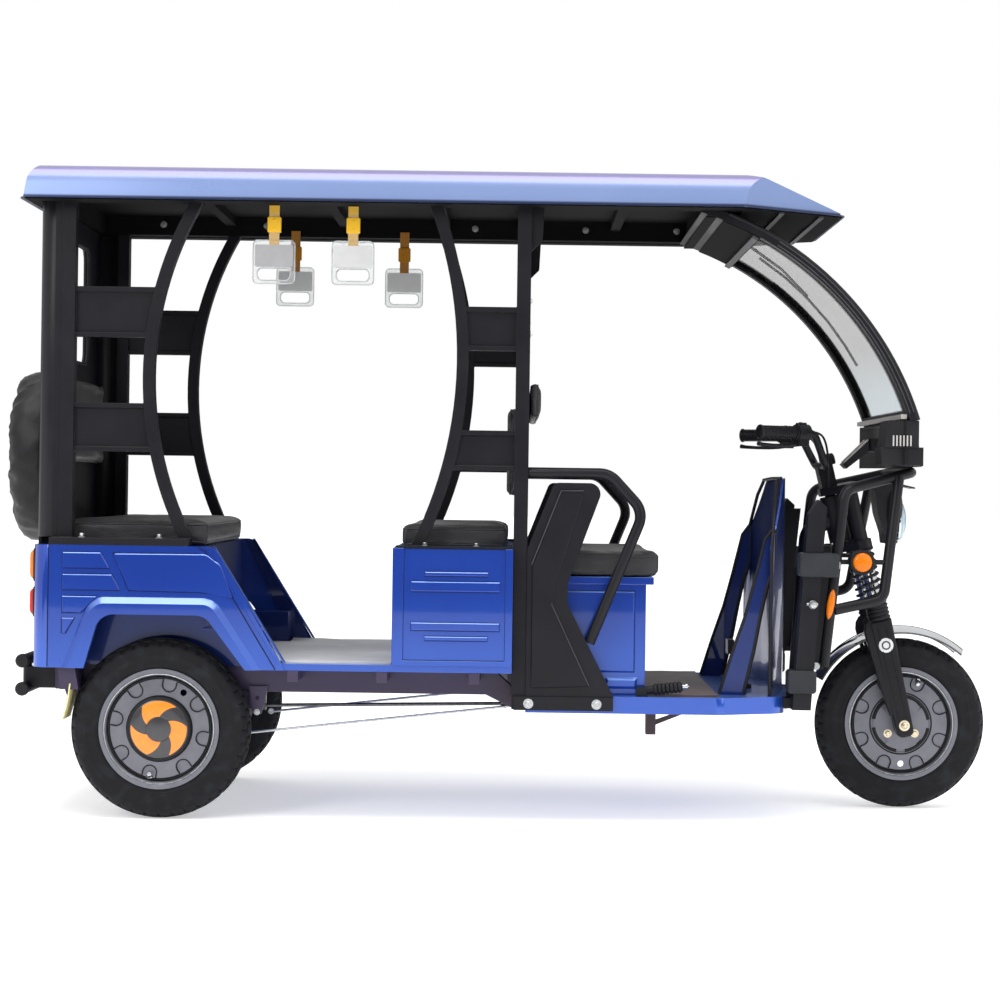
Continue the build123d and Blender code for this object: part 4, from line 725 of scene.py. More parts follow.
# Padded seats: each swells from its block under pressure and keeps a flat foot
# name, node, low corner, high corner, where it is held
PADS = [
    ("rear_seat_pad", "rear_cushion", (-1193, -404, 741), (-799, 404, 808), "foot"),
    ("mid_seat_pad", "mid_cushion", (-283, -403, 745), (22, 403, 804), "foot"),
    ("driver_seat_pad", "driver_cushion", (152, -398, 671), (438, 398, 738), "foot"),
    ("rear_back_pad", "rear_backrest", (-1258, -340, 958), (-1224, 340, 1211), "rear"),
    ("bench_back_pad", "back_pads", (14, -398, 880), (48.5, 398, 1138), "front"),
    ("driver_back_pad", "back_pads", (69.5, -398, 1102), (96, 398, 1202), "rear"),
]
PRESSED = 5
MOST_SWELL = 9
SWELL_FRAMES = 20
SWELL = {
    "quality": 4, "mass": 0.3, "tension_stiffness": 12, "compression_stiffness": 12, "shear_stiffness": 6,
    "bending_stiffness": 0.4, "use_pressure": True, "uniform_pressure_force": 4, "vertex_group_mass": "held",
}


def swelling_block(name, low, high, voxel):
    """Rounded block as a fine voxel mesh, a little smaller than the pad it becomes."""
    shape = bmesh.new()
    bmesh.ops.create_cube(shape, size=1)
    size = [h - l - 2 * PRESSED * 0.5 for l, h in zip(low, high)]
    middle = [(l + h) / 2 for l, h in zip(low, high)]
    for v in shape.verts:
        v.co = Vector([(m + c * s) * MM for m, c, s in zip(middle, v.co, size)])
    offset = min(size) * 0.22 * MM
    bmesh.ops.bevel(shape, geom=shape.edges[:], offset=offset, segments=3, profile=0.5, affect="EDGES")
    mesh = bpy.data.meshes.new(name)
    shape.to_mesh(mesh)
    shape.free()
    block = linked(name, mesh)
    fine = block.modifiers.new("voxels", "REMESH")
    fine.mode = "VOXEL"
    fine.voxel_size = voxel
    bpy.context.view_layer.update()
    voxels = bpy.data.meshes.new_from_object(block.evaluated_get(bpy.context.evaluated_depsgraph_get()))
    block.modifiers.clear()
    block.data = voxels
    bpy.data.meshes.remove(mesh)
    return block


def held_points(mesh, low, high, hold):
    axis, end = {"foot": (2, low[2]), "rear": (0, low[0]), "front": (0, high[0])}[hold]
    reach = PRESSED * 0.5 + 2.5
    return [v.index for v in mesh.vertices if abs(v.co[axis] / MM - end) < reach]


def swell(blocks):
    """Blows all the pads up together by cloth pressure, and returns their points at the end."""
    for block, low, high, hold in blocks:
        held = block.vertex_groups.new(name="held")
        held.add(held_points(block.data, low, high, hold), 1.0, "REPLACE")
        cloth = block.modifiers.new("swell", "CLOTH")
        for setting, value in SWELL.items():
            setattr(cloth.settings, setting, value)
        cloth.settings.effector_weights.gravity = 0
        cloth.collision_settings.use_collision = False
        cloth.point_cache.frame_end = SWELL_FRAMES
    for step in range(1, SWELL_FRAMES + 1):
        scene.frame_set(step)
    swollen = []
    for block, low, high, hold in blocks:
        ready = block.evaluated_get(bpy.context.evaluated_depsgraph_get())
        mesh = ready.to_mesh()
        swollen.append([v.co.copy() for v in mesh.vertices])
        ready.to_mesh_clear()
        block.modifiers.clear()
        block.vertex_groups.clear()
    scene.frame_set(1)
    return swollen


def settle(block, swollen, low, high, cap):
    """Moves the points to their swollen places, no further than the cap, and creases the slack cover."""
    span = [h - l for l, h in zip(low, high)]
    for v, place in zip(block.data.vertices, swollen):
        rest = v.co.copy()
        move = place - rest
        if move.length > cap * MM:
            move = move.normalized() * cap * MM
        at = rest / MM
        slack = noise.noise((at.x * 0.020 + at.z * 0.030, at.y * 0.014, at.z * 0.012 - at.x * 0.016))
        fine = noise.noise((at.x * 0.055, at.y * 0.040 + 7, at.z * 0.05))
        edge = max(abs(at[k] - (low[k] + high[k]) / 2) / (span[k] / 2) for k in (0, 1))
        crease = (slack * 1.9 + fine * 0.7) * min(1.0, 0.35 + edge ** 4)
        v.co = rest + move + v.normal * crease * MM
        v.co = Vector([min(max(c, l * MM - 0.004), h * MM + 0.006) for c, l, h in zip(v.co, low, high)])


def seam(block, name, low, high, level, axis, radius=2.2):
    """Welt sewn round the pad where its faces meet, laid on the swollen surface."""
    points = [v.co.copy() for v in block.data.vertices]
    tree = BVHTree.FromPolygons(points, [p.vertices[:] for p in block.data.polygons])
    a, b = [k for k in range(3) if k != axis]
    middle = [(l + h) / 2 for l, h in zip(low, high)]
    outline = rounded((high[a] - low[a]) / 2, (high[b] - low[b]) / 2, 26, 6)
    path = []
    for n in range(len(outline)):
        p, q = Vector(outline[n]), Vector(outline[(n + 1) % len(outline)])
        pieces = max(1, int((q - p).length / 18))
        for k in range(pieces):
            spot = p.lerp(q, k / pieces)
            inner, outer = Vector((0, 0, 0)), Vector((0, 0, 0))
            for end, share in ((inner, 0.8), (outer, 1.2)):
                end[a], end[b], end[axis] = middle[a] + spot.x * share, middle[b] + spot.y * share, level
            hit = tree.ray_cast(outer * MM, (inner - outer).normalized())[0]
            if hit:
                path.append(hit / MM)
    welt = Form().pipe(path, radius, 8, loop=True)
    return welt.make(name, leather, "leatherette", 60)


def padded_seats():
    voxel = 0.008
    blocks = []
    for name, node, low, high, hold in PADS:
        blocks.append((swelling_block(name, low, high, voxel), low, high, hold))
    swollen = swell(blocks)
    made = []
    for (block, low, high, hold), ends, (name, node, *rest) in zip(blocks, swollen, PADS):
        settle(block, ends, low, high, MOST_SWELL)
        block.data.shade_smooth()
        block.data.materials.clear()
        block.data.materials.append(leather.material)
        finer = block.modifiers.new("finer", "SUBSURF")
        finer.levels = finer.render_levels = 1
        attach(block, "chassis")
        axis = 2 if hold == "foot" else 0
        depth = high[axis] - low[axis]
        near, far = (low[axis], high[axis]) if hold != "front" else (high[axis], low[axis])
        seam(block, name + "_top_welt", low, high, far + (near - far) * 0.16, axis)
        if depth > 50:
            seam(block, name + "_foot_welt", low, high, near + (far - near) * 0.14, axis)
        made.append(block)
    for block, (name, node, *rest) in zip(made, PADS):
        if node != "back_pads":
            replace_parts(block, node)
    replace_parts(made[4], "back_pads")


# Spare wheel in its slack cover, on a plate behind the rear wall
# end on the wall, outer end
SPARE_X = (-1281, -1403)
SPARE_Z = 985


def spare_cover():
    steps = 144
    depth = SPARE_X[0] - SPARE_X[1]
    # radius, distance from the wall
    profile = [
        (196, 3), (214, 0.5), (232, 3), (243, 9), (248.5, 18), (250, 30), (250, 48), (249, 66), (246, 84),
        (238, 101), (225, 113), (207, 119.5), (186, 121.5), (160, 121), (132, 119), (104, 117.5), (76, 117),
        (48, 117), (22, 117.2), (3, 117.4),
    ]
    rings = []
    for radius, out in profile:
        ring = []
        for a in turn(steps):
            y, z = cos(a), sin(a)
            gather = sin(a * 36 + 3 * noise.noise((y * 3, z * 3, 1.0))) * max(0.0, 1 - out / 45) * 2.2
            fold = (z * radius * 0.020 + out * 0.022, y * radius * 0.012, 3.0 + out * 0.004)
            small = abs(noise.noise((z * radius * 0.045 - out * 0.03, y * radius * 0.030, 8.0)))
            deep = 13.0 * min(abs(noise.noise(fold)), 0.55) + 5.0 * small
            sag = noise.noise((y * 5.0 + 11, z * 2.2, out * 0.012)) * 3.0
            r = radius + (gather + sag * 0.6 - deep) * (1.0 if radius > 180 else 0.3)
            x = SPARE_X[0] - min(out - deep * 0.9 * min(1.0, out / 60), depth)
            ring.append((x, r * y, SPARE_Z + r * z))
        rings.append(ring)
    form = Form().loft(rings, cap=False)
    form.faces.append([len(form.points) - steps + k for k in range(steps)])
    skin = form.make("spare_cover", cover, "cover", 80)
    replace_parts(skin, "spare_wheel")
    hem = [(SPARE_X[0] - 3.5, 199 * cos(a), SPARE_Z + 199 * sin(a)) for a in turn(72)]
    cord = Form().pipe(hem, 4, 8, loop=True).make("spare_cover_hem", cover, "cover", 60)
    carrier = Form().plate(rounded(70, 70, 14), (-1267, 0, SPARE_Z), (-1, 0, 0), 16, 1.5)
    carrier.turned([(150, 0), (196, 6), (196, 9), (150, 4)], (-1278, 0, SPARE_Z), (-1, 0, 0), 48)
    carrier.make("spare_carrier", black, "frame_black")


# Hand grips: sewn strap loops, riveted buckles and a card in each clear plate
# x, side of the vehicle
GRIPS = [(-635, -1), (-419, -1), (-652, 1), (-317, 1)]
GRIP_Y = 397
RAIL_Z = 1674
PLATE_TOP = 1580
BUCKLE_Z = PLATE_TOP + 42
STRAP_T = 2.4


def hand_straps():
    # height, sway of the webbing
    hang = [
        (PLATE_TOP - 14, 0), (PLATE_TOP + 8, 0.5), (PLATE_TOP + 46, 0.2), (RAIL_Z - 8, -0.4),
        (RAIL_Z + 17, 0),
    ]
    for n, (x, side) in enumerate(GRIPS):
        near = side < 0
        y = side * GRIP_Y
        strap = Form()
        for offset in (-3.4, 1.0):
            rings = []
            for z, sway in hang:
                y0 = y - side * 0.6 + offset + sway
                half = 13.5 + 0.5 * cos(z)
                corners = ((-half, 0), (half, 0), (half, STRAP_T), (-half, STRAP_T))
                rings.append([(x + across, y0 + thick, z) for across, thick in corners])
            strap.loft(rings)
        strap.make(f"grip_strap_{n + 1}", webbing if near else far_webbing, "pale_rubber")
        buckle = Form().plate(rounded(18.5, 21, 3), (x, y - side * 10, BUCKLE_Z), (0, side, 0), 15, 1.2)
        rivet = [(4, 0), (4, 1), (2.2, 2)]
        for dz in (-12, 12):
            for way in (-1, 1):
                at = (x, y + side * (way * 7 - 2.5), BUCKLE_Z + dz)
                buckle.turned(rivet, at, (0, side * way, 0), 14)
        buckle.make(f"grip_buckle_{n + 1}", buckle_yellow if near else buckle_brown, "pale_rubber")
        for way, face in ((-1, "in"), (1, "out")):
            at = (x, y + side * way * 3.1, PLATE_TOP - 43)
            leaf = Form().plate(rounded(52, 30, 4), at, (0, side * way, 0), 0.5, 0.1)
            leaf.make(f"grip_card_{n + 1}_{face}", cards[min(n, 2)], "clear_plastic")
        rim = Form()
        for half_x, half_z, drop, r in ((57, 59, -60, 12), (45, 17, -93.5, 13)):
            for way in (-1, 1):
                edge = [(x + p, PLATE_TOP + drop + q) for p, q in rounded(half_x, half_z, r)]
                rim.pipe(upright(edge, y + side * way * 3.0), 1.5, 6, loop=True)
        rim.make(f"grip_rim_{n + 1}", clear, "clear_plastic", 60)


# Ribbed floor mats with turned-up edges: name, finish, reach along X, half width, floor's height
MATS = [
    ("passenger_mat", mat_rubber, (-798, -298), 456, 428),
    ("driver_mat", brown_rubber, (405, 596), 408, 347),
]


def floor_mats():
    pitch, hem = 11.0, 70
    for name, finish, (x0, x1), half, floor in MATS:
        cut = name == "passenger_mat"
        count = int(2 * half / pitch) * 4
        rings = []
        for n in range(count + 1):
            y = -half + n * 2 * half / count
            rise = 2.4 + 1.5 * (1 if n % 4 in (1, 2) else 0)
            # The passenger mat is cut back beside the wheel houses
            start = -648 if cut and abs(y) > 350 else x0
            row = []
            for k in range(13):
                x = start + (x1 - start) * k / 12
                curl = 0.0
                if abs(y) > half - hem:
                    wavy = 3 + 5 * noise.noise((x * 0.012, y * 0.01, 2.0))
                    curl = ((abs(y) - half + hem) / hem) ** 2 * wavy
                row.append((x, y, floor + rise + max(curl, 0)))
            rings.append(row + [(x, y, floor + 0.2) for x, y, z in reversed(row)])
        mat = Form().loft(rings).make(name, finish, "floor_rubber", 30)
        if cut:
            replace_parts(mat, "floor_mats")


# Fork: open coil springs over bright tubes, axle nuts and a round badge on each leg
RAKE = radians(13.6)
FORK_LEG_Y = 80
FORK_UP = (-sin(RAKE), 0, cos(RAKE))


def on_fork(x, y, z):
    """Point of the fork's own frame, whose Z runs up along the legs from the axle."""
    c, s = cos(RAKE), sin(RAKE)
    return (FRONT_AXLE_X + x * c - z * s, y, AXLE_Z + x * s + z * c)


def fork_dress():
    foot, top, coils, radius = 369, 518, 8, 25
    turns = coils * 24
    springs = []
    for side, name in SIDES:
        leg, out = side * FORK_LEG_Y, (0, side, 0)
        path = []
        for n in range(turns + 1):
            a = 2 * pi * n / 24
            z = foot + (top - foot) * n / turns
            path.append(on_fork(radius * cos(a), leg + radius * sin(a), z))
        coil = Form().pipe(path, 4.2, 8)
        springs.append(coil.make("fork_coil_" + name, plastic, "frame_black", 60, "steering"))
        tube = Form().turned([(20.6, 0), (20.6, 152)], on_fork(0, leg, 364), FORK_UP)
        tube.make("fork_tube_" + name, chrome, "chrome", body="steering")
        wiper = Form()
        ring = [(26, 0), (32.5, 2.2), (33.2, 5), (32.5, 8), (26, 10.2), (25, 5)]
        for z in (310, 322, 334, 346, 358):
            wiper.lathe(ring, on_fork(0, leg, z), FORK_UP, loop=True)
        wiper.make("fork_boot_" + name, body="steering")
        axle = on_fork(0, side * 98.5, 0)
        nut = Form().bolt(axle, out, 9, 12).turned([(6, 0), (6, 16), (4.5, 18)], axle, out, 20)
        nut.make("axle_nut_" + name, brass, "steel", body="steering")
        at = on_fork(0, side * 97.6, 236)
        badge = Form().turned([(21, 0), (21, 1.4), (20, 2.2)], at, out, 40, 2.4)
        badge.make("fork_badge_" + name, badge_paint(at), "frame_black", body="steering")
        groove = Form()
        for x in (-11, 11):
            groove.pipe([on_fork(x, side * 98.3, 20), on_fork(x * 1.1, side * 98.3, 290)], 1.6, 8)
        groove.make("fork_rib_" + name, black, "frame_black", body="steering")
        rings = []
        for z, back in ((36, 33), (90, 39), (200, 48), (284, 52), (304, 46), (318, 34)):
            ring = [(-24, 74), (-back + 3, 76), (-back, 80), (-back, 90), (-back + 3, 94), (-24, 96)]
            rings.append([on_fork(x, side * y, z) for x, y in ring])
        Form().loft(rings).make("fork_flange_" + name, black, "frame_black", body="steering")
    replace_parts(springs[0], "fork_springs")


# Bright fender: crowned blade with rolled edges, over the tyre
def fender_dress():
    start, sweep, steps = 50, 102, 48
    half, inner, crown, thick = 55, 264, 18, 2.6
    angles = [radians(start + sweep * n / steps) for n in range(steps + 1)]
    section = []
    for lift, flip in ((0, 1), (-thick, -1)):
        for k in range(13):
            y = flip * (-half + 2 * half * k / 12)
            section.append((inner + crown * (1 - (y / half) ** 2) + lift, y))
    rings = []
    for a in angles:
        rings.append([(FRONT_AXLE_X + r * cos(a), y, AXLE_Z + r * sin(a)) for r, y in section])
    blade = Form().loft(rings).make("fender_blade", chrome, "chrome", 40, "steering")
    edge = Form()
    stays = Form()
    for side in (1, -1):
        edge.pipe(circle((FRONT_AXLE_X, side * half, AXLE_Z), inner - 1, angles), 2.6, 8)
        clip = ((-12, 255), (12, 255), (12, 264), (-12, 264))
        stays.loft([[on_fork(x, side * y, z) for x, z in clip] for y in (50, 60)])
        arm = [on_fork(-40, side * 56, 262), on_fork(-30, side * 60, 200), on_fork(-14, side * 61, 150)]
        stays.pipe(arm, 6, 10)
    edge.make("fender_edges", dark_steel, "chrome", 60, "steering")
    stays.make("fender_stays", chrome, "chrome", body="steering")
    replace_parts(blade, "front_fender")


# Headlamp: fluted lens in a bright ring
def headlamp_dress():
    housing = [(1066, 950), (1133, 950), (1139, 870), (1133, 765), (1104, 765), (1100, 795), (1082, 850)]
    Form().slab(housing, -52, 52).make("headlamp_housing")
    at, ahead = (1138, 0, 830), (1, 0, 0)
    lens = [(18, 29.4), (36, 27), (50, 22), (60, 15), (65, 7), (65, 2), (58, 6), (36, 18)]
    glass_form = Form().lathe([(TIP, 30), *lens, (TIP, 22)], at, ahead, 56)
    glass_form.make("headlamp_lens", lamp_face, "clear_glass", 60)
    ring = [(64, 1), (69, 0), (71, 3), (70, 7), (67, 9), (64.5, 7)]
    Form().lathe(ring, at, ahead, 56, loop=True).make("headlamp_ring", chrome, "chrome")


# Handlebar: levers on their perches, switch keys, ribbed grips and the two brake cables
BAR_END = Vector((718, 250, 1078))
BAR_BEND = Vector((880, 160, 1078))
CABLE_R = 0.0032


def bar_dress():
    way = (BAR_END - BAR_BEND).normalized()
    for side, name in SIDES:
        def at(back, out=0.0, up=0.0):
            """Point beside the handlebar, measured back from its end."""
            p = BAR_END - way * back + Vector((way.y, -way.x, 0)) * out + Vector((0, 0, up))
            return (p.x, side * p.y, p.z)

        grip = Form()
        axis = Vector(at(0)) - Vector(at(60))
        for n in range(17):
            rib = [(16.2, 0), (18.4, 1), (18.4, 3.4), (16.2, 4.4)]
            grip.lathe(rib, at(112 - n * 6.6), axis, 28, loop=True)
        grip.turned([(19.5, 0), (20.5, 2), (20.5, 5), (18.5, 7)], at(3), axis, 28)
        grip.make("grip_ribs_" + name, body="steering")
        block = ((160, -20), (160, -38), (126, -38), (126, -20))
        perch = Form().loft([[at(back, out, up) for back, up in block] for out in (-14, 12)])
        # back along the bar, out from it, down from it
        blade = ((140, -2, -32), (118, -6, -35), (90, -8, -37), (50, -9, -37), (12, -7, -35), (-4, -4, -33))
        perch.pipe([at(*spot) for spot in blade], [6, 6, 5.4, 5, 5.4, 6.6], 12)
        perch.make("lever_" + name, body="steering")
        switch = Form()
        for back, up in ((152, 23), (138, 24), (128, 22)):
            switch.turned([(6, 0), (6, 4), (4.5, 6)], at(back, 0, up), (0, 0, 1), 16)
        switch.make("switch_keys_" + name, strap_grey, "black_plastic", body="steering")
        falls = ((917, 118, 1062), (930, 92, 1015), (934, 66, 960), (938, 58, 928))
        route = [at(168, 4, 4), at(196, 8, 2)] + [(x, side * y, z) for x, y, z in falls]
        points = [Vector(p) * MM for p in route]
        curve = bpy.data.curves.new("brake_cable_" + name, "CURVE")
        curve.dimensions = "3D"
        curve.bevel_depth = CABLE_R
        curve.bevel_resolution = 3
        spline = curve.splines.new("NURBS")
        spline.points.add(len(points) - 1)
        for p, place in zip(spline.points, points):
            p.co = (*place, 1)
        spline.order_u = 3
        spline.use_endpoint_u = True
        spline.resolution_u = 10
        curve.materials.append(plastic.material)
        cable = placed("brake_cable_" + name, curve, "steering")
    knob = Form().turned([(17, 0), (19, 6), (19, 22), (15, 32)], on_fork(-30, 0, 774), FORK_UP, 24, 34)
    knob.make("stem_knob", body="steering")


# Round signal: dark cup of the lamp's full width, domed lens in it, square housing behind
# x, z
SIGNAL = (993, 719)


def signal_lamp(name, side):
    x, z = SIGNAL
    out = (0, side, 0)
    cup = [(32, 0), (35, 3), (35, 27), (33, 30), (28, 30), (27, 27)]
    cup = Form().turned(cup, (x, side * 329, z), out, 40)
    cup.plate(rounded(31, 30, 5), (x + 4, side * 294, z), out, 34, 3)
    cup.make("signal_cup_" + name)
    dome = [(26.5, 0), (26.5, 3), (24.5, 6.5), (18, 9.5), (9, 11)]
    lens = Form().turned(dome, (x, side * 355, z), out, 40, 11.4)
    lens.make("signal_lens_" + name, amber, "amber", 60)


# Front guard: grey strap pads, amber reflectors, round signals and fasteners
def guard_dress():
    for side, name in SIDES:
        out = (0, side, 0)
        straps = Form()
        # reach along X, height
        for (x0, x1), (z0, z1) in (((787, 865), (359, 422)), ((815, 923), (678, 744))):
            at = ((x0 + x1) / 2, side * 331, (z0 + z1) / 2)
            straps.plate(rounded((x1 - x0) / 2, (z1 - z0) / 2, 10), at, out, 74, 4)
        straps.make("guard_straps_" + name, strap_grey, "black_plastic")
        blob = []
        for t in (-1, -0.8, -0.5, 0, 0.5, 0.8, 1):
            wide = sqrt(max(1 - t * t, 0.02))
            ring = []
            for a in turn(16):
                lift = max(cos(a), -0.2)
                y = side * (364 + 7 * wide * lift)
                ring.append((906 + t * 6 + 11 * wide * sin(a), y, 603 + 41 * t))
            blob.append(ring)
        Form().loft(blob).make("reflector_" + name, amber, "amber", 60)
        signal_lamp(name, side)
        trim = Form().bolt((922, side * 364, 710), out, 7, 7).bolt((868, side * 362, 432), out, 6, 6)
        knob = [(5, 0), (5, 16), (11, 18), (12, 24), (8, 30)]
        trim.turned(knob, (850, side * 394, 604), out, 20, 31)
        trim.turned([(4, 0), (4, 30)], (836, side * 397, 604), (1, 0, 0), 12)
        trim.make("guard_fasteners_" + name, zinc, "steel")


# Windscreen: wiper on its spindle, rubber seal, grey rail at the screen's foot, and pale pipes of painted
# highlight inside the frame and along its sides
def circle_through(p, q, r):
    """Middle and radius of the circle through three (x, z) points."""
    (ax, az), (bx, bz), (cx, cz) = p, q, r
    d = 2 * (ax * (bz - cz) + bx * (cz - az) + cx * (az - bz))
    a, b, c = ax * ax + az * az, bx * bx + bz * bz, cx * cx + cz * cz
    x = (a * (bz - cz) + b * (cz - az) + c * (az - bz)) / d
    z = (a * (cx - bx) + b * (ax - cx) + c * (bx - ax)) / d
    return x, z, hypot(ax - x, az - z)


SCREEN_X, SCREEN_Z, SCREEN_R = circle_through((594, 1674), (923, 1460), (1133, 1111))


def on_screen(z, y, proud):
    """Point at a height on the windscreen's curve, or proud of it."""
    a = asin((z - SCREEN_Z) / SCREEN_R)
    r = SCREEN_R + proud
    return (SCREEN_X + r * cos(a), y, SCREEN_Z + r * sin(a))


def screen_dress():
    heights = [1668 - 556 * n / 24 for n in range(25)]
    seal = Form()
    for y in (-382, 382):
        seal.pipe([on_screen(z, y, 0.5) for z in heights[5:-2]], 6, 8)
    for y in (-414, 414):
        seal.pipe([on_screen(z, y, -2) for z in heights], 6, 8)
    seal.make("screen_seal", sharp=60)
    # Pale pipes inside the frame and along its sides: painted highlight
    edge = Form()
    for y in (-384, 384):
        edge.pipe([on_screen(z, y, -19) for z in heights[3:-1]], 2.6, 8)
    for y in (-418.6, 418.6):
        for proud in (-7, -18):
            edge.pipe([on_screen(z, y, proud) for z in heights[3:-1]], 1.5, 6)
    edge.make("screen_highlight_lines", pale_grey, "black_plastic", 60)
    # Wiper: arm from its spindle in the head, and the long blade that lies on the glass
    wiper = Form()
    wiper.pipe([on_screen(1630, 40, 10), on_screen(1560, 110, 12), on_screen(1490, 170, 10)], [5, 4, 3.2], 8)
    blade = ((1600, 130), (1545, 150), (1490, 170), (1420, 190), (1350, 205), (1290, 214))
    wiper.pipe([on_screen(z, y, 5) for z, y in blade], 4, 8)
    wiper.turned([(14, 0), (14, 8), (9, 14)], on_screen(1630, 40, 0), (0.6, 0, 0.8), 20)
    wiper.make("wiper")
    rail = Form().slab(oblong(1085, 1101, 1114, 1127), -406, 406)
    rail.make("screen_foot_rail", fin_grey, "black_plastic")


# Nose cowl: wall that goes on along the windscreen's curve, finned box on the right, cable duct to the column
# foot, top
COWL_Z = (985, 1111)
COWL_BACK_X = 1095
COWL_HALF_W = 417
COWL_T = 6


def cowl_line(front, inset):
    """Half outline, seen from above, of the cowl's wall, then its mirror half."""
    bend = 420 - (front - 1093) * 130 / 90 - inset
    half = [
        (COWL_BACK_X, COWL_HALF_W - inset), (front - inset - 20, bend + 26),
        (front - inset - 6, bend + 4), (front - inset, bend - 24),
    ]
    return [(x, -y) for x, y in half] + half[::-1]


def cowl_dress():
    rings = []
    steps = 8
    for n in range(steps + 1):
        z = COWL_Z[1] - (COWL_Z[1] - COWL_Z[0]) * n / steps
        front = on_screen(z, 0, 0)[0]
        rings.append([(x, y, z) for x, y in cowl_line(front, 0) + cowl_line(front, COWL_T)[::-1]])
    wall = Form().loft(rings)
    top = [(1078, -411), (1122, -411), (1122, 411), (1098, 411)]
    wall.loft([[(x, y, z) for x, y in top] for z in (1104, 1110)])
    wall.slab([(1042, 1036), (1134, 1036), (1134, 1110), (1052, 1110)], -412, -262)
    wall.slab([(1036, 990), (1148, 986), (1148, 1037), (1030, 1037)], -404, -300)
    wall.slab([(1060, 1066), (1060, 1034), (992, 980), (980, 992)], -34, 34)
    wall.slab(oblong(1056, 1130, 1030, 1068), -34, 34)
    fins = Form()
    for n in range(6):
        x = 1062 + 9.5 * n
        fins.slab(oblong(x, x + 4, 1040, 1069), -415, -411)
    for y in (-30, 30):
        fins.pipe(upright(((1052, 1064), (1022, 1034), (986, 998)), y), 2.4, 8)
    wall = wall.make("cowl_wall")
    fins.make("cowl_fins", fin_grey, "black_plastic")
    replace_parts(wall, "front_cowl")


# Bolt heads of the frames and the leaf springs' hangers
def fasteners():
    heads, hangers, holes = Form(), Form(), Form()
    hanger = [(-690, 356), (-638, 356), (-650, 300), (-657, 279), (-678, 279), (-684, 300)]
    for side in (1, -1):
        out = (0, side, 0)
        for x in (-1140, -930):
            heads.bolt((x, side * 452, 760.5), (0, 0, 1), 6, 12)
        for x in (-210, -70):
            heads.bolt((x, side * 452, 750.5), (0, 0, 1), 5, 9)
        for x in (77, 262):
            heads.bolt((x, side * GUARD_Y, 327), out, 8, 7)
        for x in (-1060, -742, -100, 240, 520):
            heads.bolt((x, side * 452, 1706), out, 6, 5)
            heads.bolt((x, side * 399.5, 1706), (0, -side, 0), 6, 5)
        heads.bolt((-668, side * 366, 285), out, 5, 6)
        for z in (1330, 1420):
            heads.bolt((69.5, side * 430, z), (1, 0, 0), 5, 5)
        hangers.slab(hanger, side * 361, side * 366)
        holes.turned([(6, 0), (6, 1)], (-667, side * 365.6, 324), out, 20, 1.2)
    heads.make("frame_fasteners", zinc, "steel", 30)
    hangers.make("spring_hangers", purple, "chassis_paint")
    holes.make("hanger_holes")


# Hand brake: ribbed grip with a bright push button
def brake_dress():
    low, high = Vector((387, -406, 362)), Vector((498, -406, 374))
    way = (high - low).normalized()
    grip = Form()
    for n in range(7):
        ring = [(11.4, 0), (15.2, 2), (15.8, 5.5), (15.2, 9), (11.4, 11)]
        grip.lathe(ring, low + way * (32 + 11 * n), way, 24, loop=True)
    grip.make("hand_brake_grip")
    button = Form().turned([(6, 0), (6, 6), (7.5, 9), (7.5, 14), (4, 18)], high, way, 20)
    button.make("hand_brake_button", chrome, "chrome")


# Black edge trim on the leg shield and its gussets
def shield_trim():
    trim = Form()
    for side in (1, -1):
        y = side * 321
        trim.pipe(upright(((672, 349), (700, 470), (716, 560), (733, 640), (752, 700), (753, 806)), y), 6, 10)
        trim.pipe(upright(((606, 349), (640, 460), (674, 560), (700, 660), (728, 778), (750, 808)), y), 5, 10)
        rim = ((742, 357, 349), (742, 357, 735), (745, 346, 775), (764, 240, 900), (776, 190, 940))
        trim.pipe([(x, side * out, z) for x, out, z in rim], 5, 10)
    trim.pipe([(776, -190, 944), (792, -120, 949), (804, 0, 949), (792, 120, 949), (776, 190, 944)], 5, 10)
    trim.make("shield_trim", sharp=60)


# Tail: lamps with bulged lenses in their bezels, bumper pads and the rear window's rubber
TAIL_X = -1267.5
LAMP_Y = 410
# finish, slot, node, foot, top
TAIL_LAMPS = [(amber, "amber", "amber_lamps", 645, 725), (red, "red_lens", "red_lamps", 548, 620)]


def tail_dress():
    bezels, pads, window = Form(), Form(), Form()
    for side in (1, -1):
        for finish, slot, node, z0, z1 in TAIL_LAMPS:
            edge = rounded(32, (z1 - z0) / 2 + 2, 6)
            edge = [(TAIL_X - 1, side * LAMP_Y + p, (z0 + z1) / 2 + q) for p, q in edge]
            bezels.pipe(edge, 4, 8, loop=True)
        for z in (343, 420):
            pads.turned([(19, 0), (19, 10), (16, 14)], (-1307, side * 394, z), (0, side, 0), 24, 15)
    for x in (TAIL_X, TAIL_X + 9):
        window.pipe([(x, p, 1435 + q) for p, q in rounded(229, 174, 40, 8)], 5.5, 8, loop=True)
    bezels.make("lamp_bezels", sharp=60)
    window.make("rear_window_rubber", sharp=60)
    pads.make("bumper_ends")


def tail_lenses():
    for finish, slot, node, z0, z1 in TAIL_LAMPS:
        form = Form()
        for side in (1, -1):
            rings = []
            for out, shrink in ((0, 0), (6, 0), (11, 2.5), (15, 7), (17, 14)):
                edge = rounded(30 - shrink, (z1 - z0) / 2 - shrink, 12 - shrink * 0.4)
                rings.append([(TAIL_X - out, side * LAMP_Y + p, (z0 + z1) / 2 + q) for p, q in edge])
            form.loft(rings)
        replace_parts(form.make(slot + "_bulges", finish, slot, 60), node)


